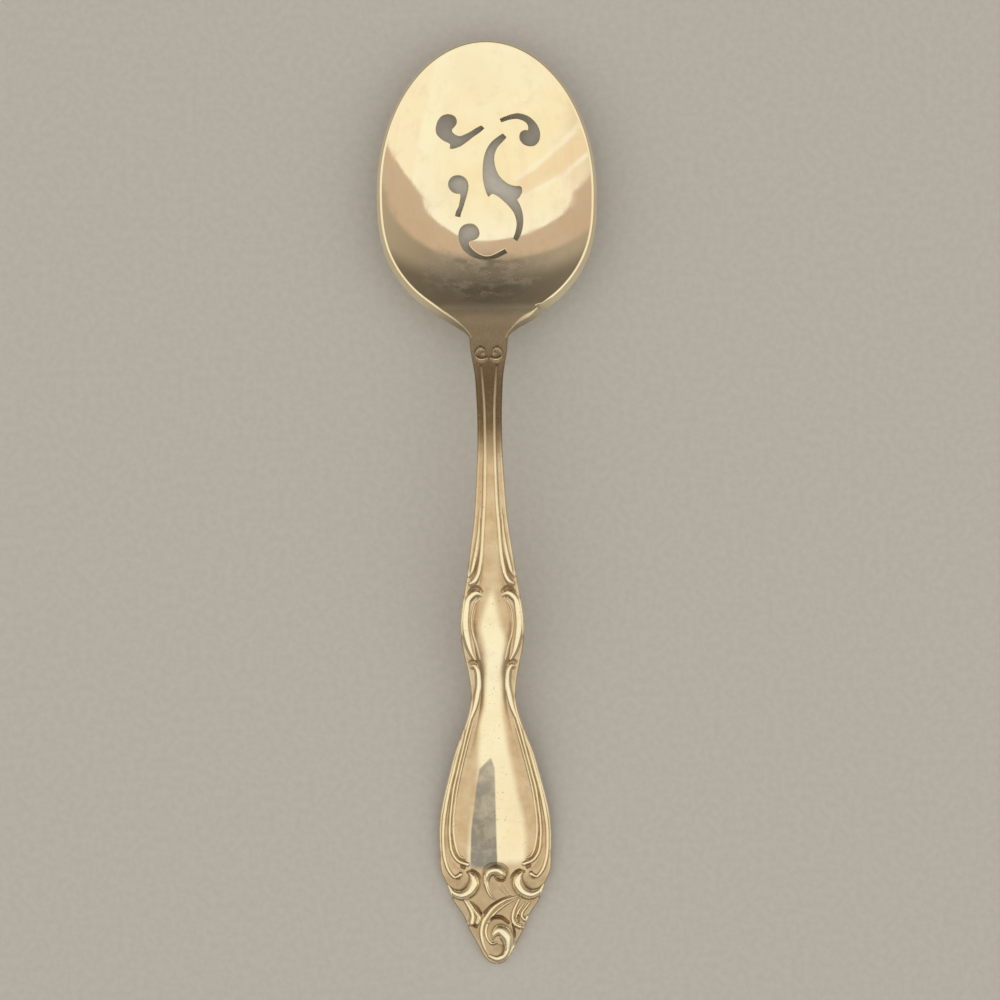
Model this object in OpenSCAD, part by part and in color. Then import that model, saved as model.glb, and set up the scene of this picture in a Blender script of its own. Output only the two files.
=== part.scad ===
// Bonbon spoon with a pierced bowl and a scrolled handle.
// It lies along Y, bowl toward +Y, and rests on the heel of the bowl and the tip of the handle.
// Lengths along the spoon are counted from the tip of the handle.

/* [Bowl] */
// Neck joint to the widest place of the bowl
shoulder_length = 24; // [18:0.5:32]
// Widest place of the bowl to its tip
nose_length = 25; // [20:0.5:32]
// Width over the rim at the widest place
bowl_width = 35.8; // [30:0.2:44]
// Height of the rim's lower edge above the table at the widest place
rim_height = 6.9; // [5:0.1:9]
// How much lower the rim is at the tip of the bowl
nose_drop = 0.5; // [0:0.1:1.5]
// Wall at the floor of the bowl
bowl_wall = 1.3; // [1:0.05:1.8]
// Wall at the tip of the bowl
nose_wall = 1; // [0.8:0.05:1.4]
// Wall where the shoulders are steepest
shoulder_wall = 1.8; // [1.3:0.05:2.2]
// Length over which the neck flares into the shoulders
shoulder_fillet = 2; // [1.2:0.1:3]
// Depth worn off the heel, which leaves a flat to rest on
heel_wear = 0.22; // [0.12:0.01:0.3]
// Distance of the nick in the right shoulder from the neck joint
nick_from_neck = 4.3; // [3:0.1:6]
// Width of the nick
nick_width = 0.8; // [0.5:0.05:1.2]

/* [Piercing] */
// Length of the pierced pattern
piercing_length = 24.6; // [18:0.2:28]
// Diameter of the round heads of the cuts
eye_diameter = 3.1; // [2:0.1:3.6]
// Width of the cuts at their thin ends
slot_width = 0.8; // [0.6:0.05:1]

/* [Handle lengths] */
// Round end of the tip
tip_length = 2.4; // [1.8:0.1:3.2]
// Tip end to the cheek scrolls
cheek_length = 13.4; // [11:0.1:17]
// Cheek scrolls to the widest place of the panel
belly_length = 6; // [4:0.1:10]
// Widest place to the middle of the flare
flare_length = 12; // [9:0.1:16]
// Middle of the flare to the pinch
pinch_length = 11.2; // [9:0.1:15]
// Pinch to the middle of the waist
waist_length = 11; // [8:0.1:15]
// Middle of the waist to the taper
taper_length = 10; // [8:0.1:14]
// Taper to the top of the stem
slim_length = 10; // [7:0.1:14]
// Top of the stem to its slimmest place
stem_length = 13; // [10:0.1:17]
// Slimmest place to the root of the neck
root_length = 7; // [5:0.1:10]
// Root of the neck to the joint with the bowl
neck_length = 7; // [5.5:0.1:10]

/* [Handle widths] */
// Width of the round tip
tip_width = 5.5; // [5:0.1:7]
// Width at the cheek scrolls
cheek_width = 18.3; // [16:0.1:22]
// Width at the widest place of the panel
belly_width = 18.7; // [17:0.1:23]
// Width in the middle of the flare
flare_width = 14; // [12:0.1:16]
// Width at the pinch
pinch_width = 7.4; // [6:0.1:9]
// Width at the waist
waist_width = 10.4; // [9:0.1:13]
// Width at the taper
taper_width = 7.7; // [6.5:0.1:9]
// Width at the top of the stem
slim_width = 5.1; // [4.6:0.1:6.2]
// Width at the slimmest place of the stem
stem_width = 3.9; // [3.4:0.1:4.5]
// Width at the root of the neck
root_width = 4.4; // [4:0.1:5]
// Width at the joint with the bowl
neck_width = 6.2; // [5.4:0.1:7.5]

/* [Handle profile] */
// Edge thickness at the tip
tip_edge = 1.7; // [1.2:0.1:2.4]
// Edge thickness at the widest place of the panel
belly_edge = 1.5; // [1.2:0.1:2.2]
// Edge thickness at the waist
waist_edge = 1.9; // [1.4:0.1:2.6]
// Edge thickness of the stem
stem_edge = 2.4; // [1.8:0.1:3.2]
// Thickness at the joint with the bowl
neck_edge = 2.6; // [2:0.1:3.2]
// Crown of the panel above its edges
belly_crown = 0.9; // [0.4:0.05:1.4]
// Crown of the waist and of the stem
stem_crown = 0.7; // [0.3:0.05:1]
// Height of the back above the table at the widest place of the panel
belly_lift = 1.2; // [0.6:0.1:2]
// Height of the back at the pinch
pinch_lift = 5.8; // [4:0.1:8]
// Height of the back at the waist
waist_lift = 8.4; // [6:0.1:11]
// Height of the back at the top of the arch
arch_lift = 12.1; // [9:0.1:15]
// Height of the back at the slimmest place of the stem
stem_lift = 11.7; // [9:0.1:14]
// Height of the back at the root of the neck
root_lift = 10.8; // [9:0.1:13]
// Height of the back at the joint with the bowl
neck_lift = 8.9; // [8:0.1:12]
// Height of the rim's lower edge where the shoulders begin to spread
shoulder_lift = 7.5; // [6:0.1:10]

/* [Ornament] */
// Width of the threads
thread_width = 0.8; // [0.5:0.05:1]
// Height of the threads
thread_height = 0.35; // [0.2:0.05:0.6]
// Distance of the inner threads from the edge at the widest place of the panel
channel_width = 2.4; // [2.1:0.1:2.8]
// Height of the scrolls and curls
scroll_height = 0.8; // [0.4:0.05:1.1]
// Width of the fattest part of a cheek scroll
cheek_scroll_width = 1.7; // [1.2:0.1:1.9]
// Width of the fattest part of the crest curl
crest_curl_width = 1.5; // [1:0.1:1.6]
// Width of the fattest part of the tip volute
volute_width = 1.7; // [1.2:0.1:1.8]
// Width of the leaves
leaf_width = 1.5; // [1:0.1:1.7]
// Height of the leaves
leaf_height = 0.5; // [0.3:0.05:0.8]

/* [Hidden] */
$fn = 48;

// Colours of the bright metal, of the handle and of the raised work
bowl_colour = "#e9dcbd";
handle_colour = "#dccaa4";
ornament_colour = "#efe4c8";

// Places along the spoon
cheek_at = tip_length + cheek_length;
belly_at = cheek_at + belly_length;
flare_at = belly_at + flare_length;
pinch_at = flare_at + pinch_length;
waist_at = pinch_at + waist_length;
taper_at = waist_at + taper_length;
slim_at = taper_at + slim_length;
stem_at = slim_at + stem_length;
root_at = stem_at + root_length;
neck_at = root_at + neck_length;
spread_at = neck_at + shoulder_length / 6;
wide_at = neck_at + shoulder_length;
nose_at = wide_at + nose_length;

// How full the shoulders are, and where along them the wall is given
shoulder_fullness = 2.8;
shoulder_wall_at = neck_at + shoulder_length / 3;
// The wall stands square to the surface past this length from the neck
square_wall_length = 6;

// Steps of the lofts, which crowd toward the neck and stop short of a point at both ends
bowl_columns = 20;
shoulder_steps = 20;
shoulder_crowding = 1.25;
nose_steps = 17;
last_nose_angle = 87;
handle_columns = 12;
handle_steps = 58;
tip_steps = 5;
first_tip_angle = 15;
tip_starts_at = tip_length * (1 - cos(first_tip_angle));
nose_ends_at = wide_at + nose_length * sin(last_nose_angle);
centre_at = (tip_starts_at + nose_ends_at) / 2;

half_rim = bowl_width / 2;
dish = rim_height / pow(half_rim, 2);
neck_bulge = dish * pow(neck_width / 2, 2);

// Half widths, back heights, edge thicknesses and crowns along the spoon, as [place, value]
half_widths = [
    [tip_length, tip_width / 2], [cheek_at, cheek_width / 2], [belly_at, belly_width / 2],
    [flare_at, flare_width / 2], [pinch_at, pinch_width / 2], [waist_at, waist_width / 2],
    [taper_at, taper_width / 2], [slim_at, slim_width / 2], [stem_at, stem_width / 2],
    [root_at, root_width / 2], [neck_at, neck_width / 2]
];
backs = [
    [0, heel_wear], [belly_at, belly_lift], [pinch_at, pinch_lift], [waist_at, waist_lift],
    [slim_at, arch_lift], [stem_at, stem_lift], [root_at, root_lift], [neck_at, neck_lift],
    [spread_at, shoulder_lift], [wide_at, rim_height], [nose_at, rim_height - nose_drop]
];
edges = [
    [0, tip_edge], [belly_at, belly_edge], [waist_at, waist_edge], [stem_at, stem_edge], [neck_at, neck_edge]
];
crowns = [
    [0, belly_crown / 3], [belly_at, belly_crown], [waist_at, stem_crown], [stem_at, stem_crown],
    [neck_at, -neck_bulge]
];
bulges = [[0, 0], [waist_at, 0], [stem_at, neck_bulge], [neck_at, neck_bulge]];
walls = [
    [neck_at, neck_edge], [shoulder_wall_at, shoulder_wall], [wide_at, bowl_wall], [nose_at, nose_wall]
];

// Smooth curve through [place, value] pairs, without overshoot
function rise(p, i) = (p[i + 1][1] - p[i][1]) / (p[i + 1][0] - p[i][0]);
function mean_rise(a, b) = a * b <= 0 ? 0 : 2 * a * b / (a + b);
function tangent(p, i) = i == 0 ? rise(p, 0) : i == len(p) - 1 ? rise(p, i - 1)
    : mean_rise(rise(p, i - 1), rise(p, i));
function span(p, s, i = 0) = i >= len(p) - 2 || s < p[i + 1][0] ? i : span(p, s, i + 1);
function along(p, s) =
    let (i = span(p, s), h = p[i + 1][0] - p[i][0], t = (s - p[i][0]) / h)
    p[i][1] * (1 + 2 * t) * pow(1 - t, 2) + tangent(p, i) * h * t * pow(1 - t, 2)
    + p[i + 1][1] * t * t * (3 - 2 * t) - tangent(p, i + 1) * h * t * t * (1 - t);
function ease(t) = let (c = min(1, max(0, t))) c * c * (3 - 2 * c);

// Outline of the handle, with a round end
function handle_half(s) = s >= tip_length ? along(half_widths, s)
    : tip_width / 2 * sqrt(max(0, 1 - pow(1 - s / tip_length, 2)));
function across(x, s) = 1 - pow(x / max(handle_half(s), 0.1), 2);
function handle_top(x, s) = along(backs, s) + along(edges, s) + along(crowns, s) * across(x, s);
function handle_back(x, s) = along(backs, s) - along(bulges, s) * across(x, s);

// Outline of the bowl: half an ellipse toward the tip, full shoulders toward the neck
function flare(q) = (1 - pow(1 - q, shoulder_fullness)) * (1 - exp(-q * shoulder_length / shoulder_fillet));
function bowl_half_squared(s) = s > wide_at ? pow(half_rim, 2) * (1 - pow((s - wide_at) / nose_length, 2))
    : pow(neck_width / 2 + (half_rim - neck_width / 2) * flare((s - neck_at) / shoulder_length), 2);
function bowl_half(s) = sqrt(bowl_half_squared(s));
// Underside of the bowl, its slope, and the wall square to it
function under(x, s) = along(backs, s) + dish * (x * x - bowl_half_squared(s));
function under_slope(x, s, e = 0.01) = [2 * dish * x, (under(x, s + e) - under(x, s - e)) / (2 * e)];
function wall_way(x, s) =
    let (g = under_slope(x, s) * ease((s - neck_at) / square_wall_length), v = [-g[0], -g[1], 1]) v / norm(v);
function bowl_inside(x, s) = [x, s, under(x, s)] + along(walls, s) * wall_way(x, s);
function bowl_outside(x, s) = [x, s, max(heel_wear, under(x, s))];

// From lengths along the spoon to the spoon's own frame
function placed(p) = [p[0], p[1] - centre_at, p[2] - heel_wear];

// A closed solid between two grids of points of the same size
module slab(upper, lower) {
    rows = len(upper);
    columns = len(upper[0]);
    below = rows * columns;
    points = [for (grid = [upper, lower]) for (row = grid) for (p = row) placed(p)];
    function at(i, j) = i * columns + j;
    function quad(a, b, c, d) = [[a, b, c], [a, c, d]];
    faces = [
        for (i = [0:rows - 2]) for (j = [0:columns - 2])
            each quad(at(i, j), at(i + 1, j), at(i + 1, j + 1), at(i, j + 1)),
        for (i = [0:rows - 2]) for (j = [0:columns - 2])
            each quad(below + at(i, j), below + at(i, j + 1), below + at(i + 1, j + 1), below + at(i + 1, j)),
        for (i = [0:rows - 2])
            each quad(at(i, 0), below + at(i, 0), below + at(i + 1, 0), at(i + 1, 0)),
        for (i = [0:rows - 2])
            each quad(at(i, columns - 1), at(i + 1, columns - 1),
                below + at(i + 1, columns - 1), below + at(i, columns - 1)),
        for (j = [0:columns - 2])
            each quad(at(0, j), at(0, j + 1), below + at(0, j + 1), below + at(0, j)),
        for (j = [0:columns - 2])
            each quad(at(rows - 1, j), below + at(rows - 1, j),
                below + at(rows - 1, j + 1), at(rows - 1, j + 1))
    ];
    polyhedron(points, faces);
}

// Curve through points of any size, with a number of steps to each stretch
function between(a, b, c, d, t) = 0.5 * (2 * b + (c - a) * t + (2 * a - 5 * b + 4 * c - d) * t * t
    + (3 * b - a - 3 * c + d) * t * t * t);
function smooth(p, steps) = [
    for (i = [0:len(p) - 2]) for (k = [0:steps - 1])
        between(p[max(0, i - 1)], p[i], p[i + 1], p[min(len(p) - 1, i + 2)], k / steps),
    p[len(p) - 1]
];
// Unit vector square to a path in plan
function square_to(p, i) =
    let (d = p[min(len(p) - 1, i + 1)] - p[max(0, i - 1)]) [-d[1], d[0]] / norm([d[0], d[1]]);

// A raised strip that follows a path of [x, place, half width, height] on the handle's face
strip_profile = [[-1, 0.1], [-0.62, 0.75], [0, 1], [0.62, 0.75], [1, 0.1]];
function strip_place(path, i, u) = [path[i][0], path[i][1]] + square_to(path, i) * path[i][2] * u;
function on_face(q, height) = [q[0], q[1], handle_top(q[0], q[1]) + height];
module strip(path) {
    rows = [0:len(path) - 1];
    slab(
        [for (i = rows) [for (c = strip_profile) on_face(strip_place(path, i, c[0]), path[i][3] * c[1])]],
        [for (i = rows) [for (c = strip_profile) on_face(strip_place(path, i, c[0]), 0)]]
    );
}
// The same path on the other side of the spoon
function mirrored(path) = [for (k = [len(path) - 1:-1:0]) [-path[k][0], path[k][1], path[k][2], path[k][3]]];
module sided(path, side) {
    color(ornament_colour) strip(side < 0 ? path : mirrored(path));
}

// Cuts of the bowl, as [x, y, half width] from the widest place, in hundredths of the pattern's length
piercing_unit = piercing_length / 100;
cut_steps = 5;
thin = slot_width / 2 / piercing_unit;
eye = eye_diameter / 2 / piercing_unit;
cuts = [
    // Comma at the upper left
    [[-25, 47, 4.5], [-27.5, 42, 4], [-25.5, 37.5, 3], [-19.5, 37.5, 2.6], [-10, 42.5, 2], [-1, 47, thin]],
    // Hook at the upper right
    [[11, 52.5, thin], [22, 53.5, 1.9], [30.5, 49.5, 3], [33.5, 43.5, 3.4], [29, 40, 3]],
    // Two crescents that meet in the middle
    [[13.5, 41, thin], [5.5, 33.5, 2.4], [3, 22, 3.9], [4, 14.5, 4.7], [10, 5, 5.8], [16.5, -3, 5.2],
        [20, -12, 4.1], [22, -19, 2.4], [20, -28, 1.2]],
    // Comma at the left
    [[-17, 10, 3], [-13.5, 5.5, 2.5], [-14, -2.5, 2], [-18.5, -13, thin]],
    // Hook at the bottom
    [[-11, -24, 3], [-15.5, -29, 3.5], [-12.5, -35.5, 3.2], [-5.5, -40, 2.2], [2, -41, 1.8], [12.5, -36, thin]]
];
eyes = [[-25.5, 48.5], [29, 40], [-18, 9.5], [-11, -23.5]];
// Pointed spurs: below the comma, and on either side where the crescents meet
spurs = [
    [[-29, 39], [-23.5, 33], [-21, 38]],
    [[3, 12], [2, 1.5], [11, 1]],
    [[9, 13], [14, -1], [24.5, 1.5], [24.5, 5.5]]
];

module cut(points) {
    path = smooth(points, cut_steps);
    rows = [0:len(path) - 1];
    back_rows = [len(path) - 1:-1:0];
    polygon([
        for (i = rows) [path[i][0], path[i][1]] + square_to(path, i) * path[i][2],
        for (i = back_rows) [path[i][0], path[i][1]] - square_to(path, i) * path[i][2]
    ]);
}

module piercing() {
    clear = rim_height + bowl_wall;
    translate([0, wide_at - centre_at, -clear])
        linear_extrude(3 * clear)
            scale(piercing_unit) {
                for (points = cuts) cut(points);
                for (points = spurs) polygon(points);
                for (e = eyes) translate(e) circle(eye);
            }
}

// Nick in the edge of the right shoulder
module nick() {
    nick_at = neck_at + nick_from_neck;
    translate([bowl_half(nick_at) - nick_width / 2, nick_at - centre_at - nick_width, 0])
        linear_extrude(2 * neck_lift)
            square([2 * nick_width, nick_width]);
}

module bowl() {
    places = [
        for (i = [0:shoulder_steps - 1]) neck_at + shoulder_length * pow(i / shoulder_steps, shoulder_crowding),
        for (i = [0:nose_steps]) wide_at + nose_length * sin(i / nose_steps * last_nose_angle)
    ];
    columns = [for (j = [0:bowl_columns]) 2 * j / bowl_columns - 1];
    color(bowl_colour)
        difference() {
            slab(
                [for (s = places) [for (c = columns) bowl_inside(c * bowl_half(s), s)]],
                [for (s = places) [for (c = columns) bowl_outside(c * bowl_half(s), s)]]
            );
            piercing();
            nick();
        }
}

module handle() {
    tip_turn = (90 - first_tip_angle) / tip_steps;
    places = [
        for (i = [0:tip_steps - 1]) tip_length * (1 - cos(first_tip_angle + i * tip_turn)),
        for (i = [0:handle_steps]) tip_length + (neck_at - tip_length) * i / handle_steps
    ];
    columns = [for (j = [0:handle_columns]) 2 * j / handle_columns - 1];
    color(handle_colour)
        slab(
            [for (s = places) [for (c = columns) [c * handle_half(s), s, handle_top(c * handle_half(s), s)]]],
            [for (s = places) [for (c = columns) [c * handle_half(s), s, handle_back(c * handle_half(s), s)]]]
        );
}

// Paths of the raised work on the left side: a share of the half width, or a distance from the edge
thread = thread_width / 2;
fine = thread / 3;
low = thread_height / 2;
turn_steps = 4;
function beside(share, s, half, height) = [-share * handle_half(s), s, half, height];
function inset(from_edge, s, half, height) = [from_edge - handle_half(s), s, half, height];
// The same on the end of the handle, where a share of the length to the cheeks gives the place
function at_end(share, along_share, half, height) =
    let (s = along_share * cheek_at) [share * handle_half(s), s, half, height];

// Small scroll of the neck: out under the eye, round and in
neck_scroll = smooth([
    beside(0.07, root_at + 0.5 * neck_length, fine, low),
    beside(0.34, root_at + 0.46 * neck_length, thread / 2, low),
    beside(0.62, root_at + 0.53 * neck_length, thread / 2, thread_height),
    beside(0.68, root_at + 0.66 * neck_length, thread / 2, thread_height),
    beside(0.46, root_at + 0.76 * neck_length, thread / 2, thread_height),
    beside(0.27, root_at + 0.7 * neck_length, thread / 2, thread_height),
    beside(0.37, root_at + 0.62 * neck_length, fine, low)
], turn_steps);

// Thread along the stem, which ends in a leaf turned outward above the waist
stem_thread = smooth([
    beside(0.5, root_at + 0.35 * neck_length, fine, low), beside(0.5, root_at, thread / 2, thread_height),
    beside(0.5, stem_at, thread / 2, thread_height), beside(0.53, slim_at, 0.6 * thread, thread_height),
    beside(0.56, taper_at + 0.1 * slim_length, 0.7 * thread, thread_height),
    beside(0.58, taper_at - 0.08 * taper_length, 0.9 * thread, thread_height),
    beside(0.7, taper_at - 0.2 * taper_length, thread, thread_height),
    beside(0.8, taper_at - 0.25 * taper_length, fine, low)
], turn_steps);

// C-scroll beside the waist: out over the top, down the edge and in again at the foot
waist_scroll = smooth([
    beside(0.42, waist_at + 0.58 * taper_length, 0.4 * thread, low),
    beside(0.58, waist_at + 0.61 * taper_length, 0.7 * thread, thread_height),
    beside(0.76, waist_at + 0.58 * taper_length, 0.75 * thread, thread_height),
    beside(0.85, waist_at + 0.48 * taper_length, 0.75 * thread, thread_height),
    beside(0.87, waist_at + 0.28 * taper_length, 0.85 * thread, thread_height),
    beside(0.86, waist_at + 0.1 * taper_length, thread, thread_height),
    beside(0.83, waist_at - 0.08 * waist_length, 0.9 * thread, thread_height),
    beside(0.78, waist_at - 0.27 * waist_length, 0.75 * thread, thread_height),
    beside(0.74, waist_at - 0.43 * waist_length, fine, low)
], turn_steps);

// Thread round the panel: a hook below the waist, then down beside the channel to a leaf turned inward
inner_thread = smooth([
    beside(0.85, pinch_at + 0.42 * waist_length, fine, low),
    beside(0.74, pinch_at + 0.46 * waist_length, fine, low),
    beside(0.63, pinch_at + 0.37 * waist_length, 0.9 * thread, thread_height),
    beside(0.63, pinch_at + 0.2 * waist_length, thread, thread_height),
    inset(0.45 * channel_width, pinch_at, thread, thread_height),
    inset(0.58 * channel_width, (pinch_at + flare_at) / 2, thread, thread_height),
    inset(0.75 * channel_width, flare_at, thread, thread_height),
    inset(0.82 * channel_width, (flare_at + belly_at) / 2, thread, thread_height),
    inset(channel_width, belly_at, 1.2 * thread, thread_height),
    at_end(-0.69, 1.15, thread, thread_height), at_end(-0.61, 1.1, 0.8 * thread, thread_height),
    at_end(-0.49, 1.06, fine, low)
], turn_steps);

// Bead on the edge of the wide part, which ends in a small hook
rim_inset = 1.2 * thread;
rim_thread = smooth([
    inset(rim_inset, flare_at + 0.45 * pinch_length, fine, low),
    inset(rim_inset, flare_at, thread, thread_height),
    inset(rim_inset, (flare_at + belly_at) / 2, thread, thread_height),
    inset(rim_inset, belly_at, thread, thread_height),
    inset(rim_inset, (belly_at + cheek_at) / 2, thread, thread_height),
    at_end(-0.92, 1.03, 0.9 * thread, thread_height), at_end(-0.87, 0.98, 0.6 * thread, thread_height),
    at_end(-0.79, 0.935, thread / 2, thread_height),
    at_end(-0.69, 0.93, thread / 2, thread_height), at_end(-0.645, 0.96, fine, low)
], turn_steps);

// Fat C-scroll of the cheek: thin along the edge, swelling inward and up
fat = cheek_scroll_width / 2;
cheek_scroll = smooth([
    at_end(-0.92, 0.86, fine, low), at_end(-0.87, 0.77, 0.45 * fat, 0.6 * scroll_height),
    at_end(-0.77, 0.735, 0.7 * fat, 0.85 * scroll_height), at_end(-0.57, 0.78, 0.95 * fat, scroll_height),
    at_end(-0.43, 0.86, fat, scroll_height), at_end(-0.43, 0.935, 0.7 * fat, 0.8 * scroll_height),
    at_end(-0.47, 0.98, 0.3 * fat, 0.4 * scroll_height)
], turn_steps);

// Curl between the cheeks: up on the left, over the top and in
curl = crest_curl_width / 2;
crest_path = smooth([
    at_end(0, 0.69, fine, low), at_end(-0.13, 0.735, 0.4 * curl, 0.5 * scroll_height),
    at_end(-0.19, 0.825, 0.5 * curl, 0.7 * scroll_height),
    at_end(-0.18, 0.925, 0.65 * curl, 0.85 * scroll_height),
    at_end(-0.1, 0.995, 0.85 * curl, scroll_height), at_end(0.03, 1.01, curl, scroll_height),
    at_end(0.12, 0.965, 0.8 * curl, scroll_height), at_end(0.085, 0.915, 0.4 * curl, 0.6 * scroll_height)
], turn_steps);

// Leaf on the tapering side below the cheek
leaf = leaf_width / 2;
side_leaf = smooth([
    at_end(-0.69, 0.67, 0.4 * leaf, 0.4 * leaf_height), at_end(-0.65, 0.6, 0.8 * leaf, leaf_height),
    at_end(-0.64, 0.52, 0.9 * leaf, leaf_height), at_end(-0.7, 0.45, 0.7 * leaf, leaf_height),
    at_end(-0.75, 0.4, 0.3 * leaf, 0.4 * leaf_height)
], turn_steps);

// Stem of the S-leaf: from the right cheek across and down the left side of the tip
tip_leaf_path = smooth([
    at_end(0.48, 0.71, fine, low), at_end(0.24, 0.685, 0.45 * leaf, leaf_height),
    at_end(0, 0.62, 0.6 * leaf, leaf_height),
    at_end(-0.22, 0.54, 0.65 * leaf, leaf_height), at_end(-0.41, 0.45, 0.65 * leaf, leaf_height),
    at_end(-0.55, 0.355, 0.6 * leaf, leaf_height), at_end(-0.6, 0.27, 0.3 * leaf, 0.4 * leaf_height)
], turn_steps);

// Volute of the tip: from the bulb over and down the right side, round the end and up on the left
roll = volute_width / 2;
volute_path = smooth([
    at_end(-0.16, 0.265, fine, low), at_end(-0.13, 0.325, 0.5 * roll, 0.7 * scroll_height),
    at_end(0.12, 0.375, 0.85 * roll, scroll_height), at_end(0.41, 0.33, 0.85 * roll, scroll_height),
    at_end(0.58, 0.24, 0.8 * roll, scroll_height), at_end(0.66, 0.155, 0.55 * roll, 0.7 * scroll_height),
    at_end(0.46, 0.085, 0.45 * roll, 0.5 * scroll_height),
    at_end(-0.04, 0.055, 0.4 * roll, 0.5 * scroll_height),
    at_end(-0.5, 0.09, 0.35 * roll, low), at_end(-0.7, 0.17, fine, low)
], turn_steps);

left = -1;
right = 1;
module neck_scroll_left() sided(neck_scroll, left);
module neck_scroll_right() sided(neck_scroll, right);
module stem_thread_left() sided(stem_thread, left);
module stem_thread_right() sided(stem_thread, right);
module waist_scroll_left() sided(waist_scroll, left);
module waist_scroll_right() sided(waist_scroll, right);
module inner_thread_left() sided(inner_thread, left);
module inner_thread_right() sided(inner_thread, right);
module rim_thread_left() sided(rim_thread, left);
module rim_thread_right() sided(rim_thread, right);
module cheek_scroll_left() sided(cheek_scroll, left);
module cheek_scroll_right() sided(cheek_scroll, right);
module crest_curl() sided(crest_path, left);
module side_leaf_left() sided(side_leaf, left);
module side_leaf_right() sided(side_leaf, right);
module tip_leaf() sided(tip_leaf_path, left);
module tip_volute() sided(volute_path, left);

bowl();
handle();
neck_scroll_left();
neck_scroll_right();
stem_thread_left();
stem_thread_right();
waist_scroll_left();
waist_scroll_right();
inner_thread_left();
inner_thread_right();
rim_thread_left();
rim_thread_right();
cheek_scroll_left();
cheek_scroll_right();
crest_curl();
side_leaf_left();
side_leaf_right();
tip_leaf();
tip_volute();
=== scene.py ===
import math

import bpy
import numpy as np
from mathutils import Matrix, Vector
from mathutils.geometry import delaunay_2d_cdt


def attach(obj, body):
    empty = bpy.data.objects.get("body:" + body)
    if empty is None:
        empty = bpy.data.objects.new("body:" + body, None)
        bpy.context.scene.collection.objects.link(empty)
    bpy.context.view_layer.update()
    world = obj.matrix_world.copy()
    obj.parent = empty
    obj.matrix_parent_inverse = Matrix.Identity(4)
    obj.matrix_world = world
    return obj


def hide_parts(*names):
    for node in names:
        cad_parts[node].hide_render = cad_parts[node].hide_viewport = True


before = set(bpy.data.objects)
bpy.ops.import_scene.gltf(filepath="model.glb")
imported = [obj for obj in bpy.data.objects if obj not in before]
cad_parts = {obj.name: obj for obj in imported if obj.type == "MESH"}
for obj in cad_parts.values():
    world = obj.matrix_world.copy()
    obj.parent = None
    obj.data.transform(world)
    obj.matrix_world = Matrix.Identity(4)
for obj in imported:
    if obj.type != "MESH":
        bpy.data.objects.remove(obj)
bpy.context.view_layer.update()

# The spoon is laid out in millimetres: x across, s along it from the tip of the handle, z up.
MM = 0.001
NECK, WIDE, NOSE = 103.0, 127.0, 152.0
SHOULDER, NOSE_LENGTH = WIDE - NECK, NOSE - WIDE
TIP, TIP_HALF, TIP_LEAN = 2.4, 2.75, 0.478
NECK_HALF, HALF_RIM = 3.1, 17.9
HEEL = 0.22
DISH = 6.9 / HALF_RIM ** 2
BULGE = DISH * NECK_HALF ** 2
EDGE_ROUND = 0.42
# Degrees round an edge at which it has a row of points.
ROUND_STEPS = [18, 36, 54, 72, 90]
# Points across the top of the handle, and along the bowl's seat against it.
ACROSS = 151
# The handle's rings are this fine as far as the end's ornaments go, and then there are this many to the neck.
FINE_TO, FINE_STEP, PLAIN_RINGS = 24, 0.12, 283
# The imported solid's first ring at the tip and last one at the nose, which fix the middle of the part.
FIRST_RING, LAST_RING = math.radians(15), math.radians(87)
CENTRE = (TIP * (1 - math.cos(FIRST_RING)) + WIDE + NOSE_LENGTH * math.sin(LAST_RING)) / 2


def curve(points):
    """A smooth curve through points that doesn't swing past them."""
    p = np.array(points, float)
    h = np.diff(p[:, 0])
    d = np.diff(p[:, 1]) / h
    t = np.concatenate([d[:1], np.zeros(len(d) - 1), d[-1:]])
    both = d[:-1] * d[1:]
    keep = both > 0
    t[1:-1][keep] = 2 * both[keep] / (d[:-1] + d[1:])[keep]

    def at(s):
        s = np.asarray(s, float)
        i = np.clip(np.searchsorted(p[:, 0], s, side="right") - 1, 0, len(h) - 1)
        u = (s - p[i, 0]) / h[i]
        return (p[i, 1] * (1 + 2 * u) * (1 - u) ** 2 + t[i] * h[i] * u * (1 - u) ** 2
                + p[i + 1, 1] * u * u * (3 - 2 * u) - t[i + 1] * h[i] * u * u * (1 - u))
    return at


def smoothstep(u):
    u = np.clip(u, 0, 1)
    return u * u * (3 - 2 * u)


side_of = curve([(2.4, 2.75), (15.8, 9.15), (21.8, 9.35), (33.8, 7), (45, 3.7), (56, 5.2), (66, 3.85),
                 (76, 2.55), (89, 1.95), (96, 2.2), (103, 3.1), (107, 3.1)])
back_of = curve([(0, HEEL), (21.8, 1.2), (45, 5.8), (56, 8.4), (76, 12.1), (89, 11.7), (96, 10.8), (103, 8.9),
                 (107, 7.5), (127, 6.9), (152, 6.4)])
edge_of = curve([(0, 1.7), (21.8, 1.5), (56, 1.9), (89, 2.4), (103, 2.6), (111, 1.8)])
crown_of = curve([(0, 0.3), (21.8, 0.9), (56, 0.7), (89, 0.7), (103, -BULGE), (111, -BULGE)])
bulge_of = curve([(0, 0), (56, 0), (89, BULGE), (103, BULGE)])
wall_of = curve([(96, 2.5), (103, 2.6), (111, 1.8), (127, 1.3), (152, 1.0)])
panel_half = curve([(15, 3.6), (17, 4.6), (21.8, 6.3), (27.8, 5.7), (33.8, 4.5), (39.4, 3.0), (45, 2.1),
                    (48, 2.1), (51, 2.6), (54, 3.0), (57, 3.1), (60, 2.6), (63, 2.1), (66, 1.6), (76, 1.1),
                    (89, 0.75), (98, 0.9)])
panel_rise = curve([(14, 0), (18, 0.55), (22, 0.75), (34, 0.8), (45, 0.65), (56, 0.85), (62, 0.6), (68, 0.35),
                    (76, 0.25), (89, 0.12), (98, 0), (104, 0)])


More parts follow.
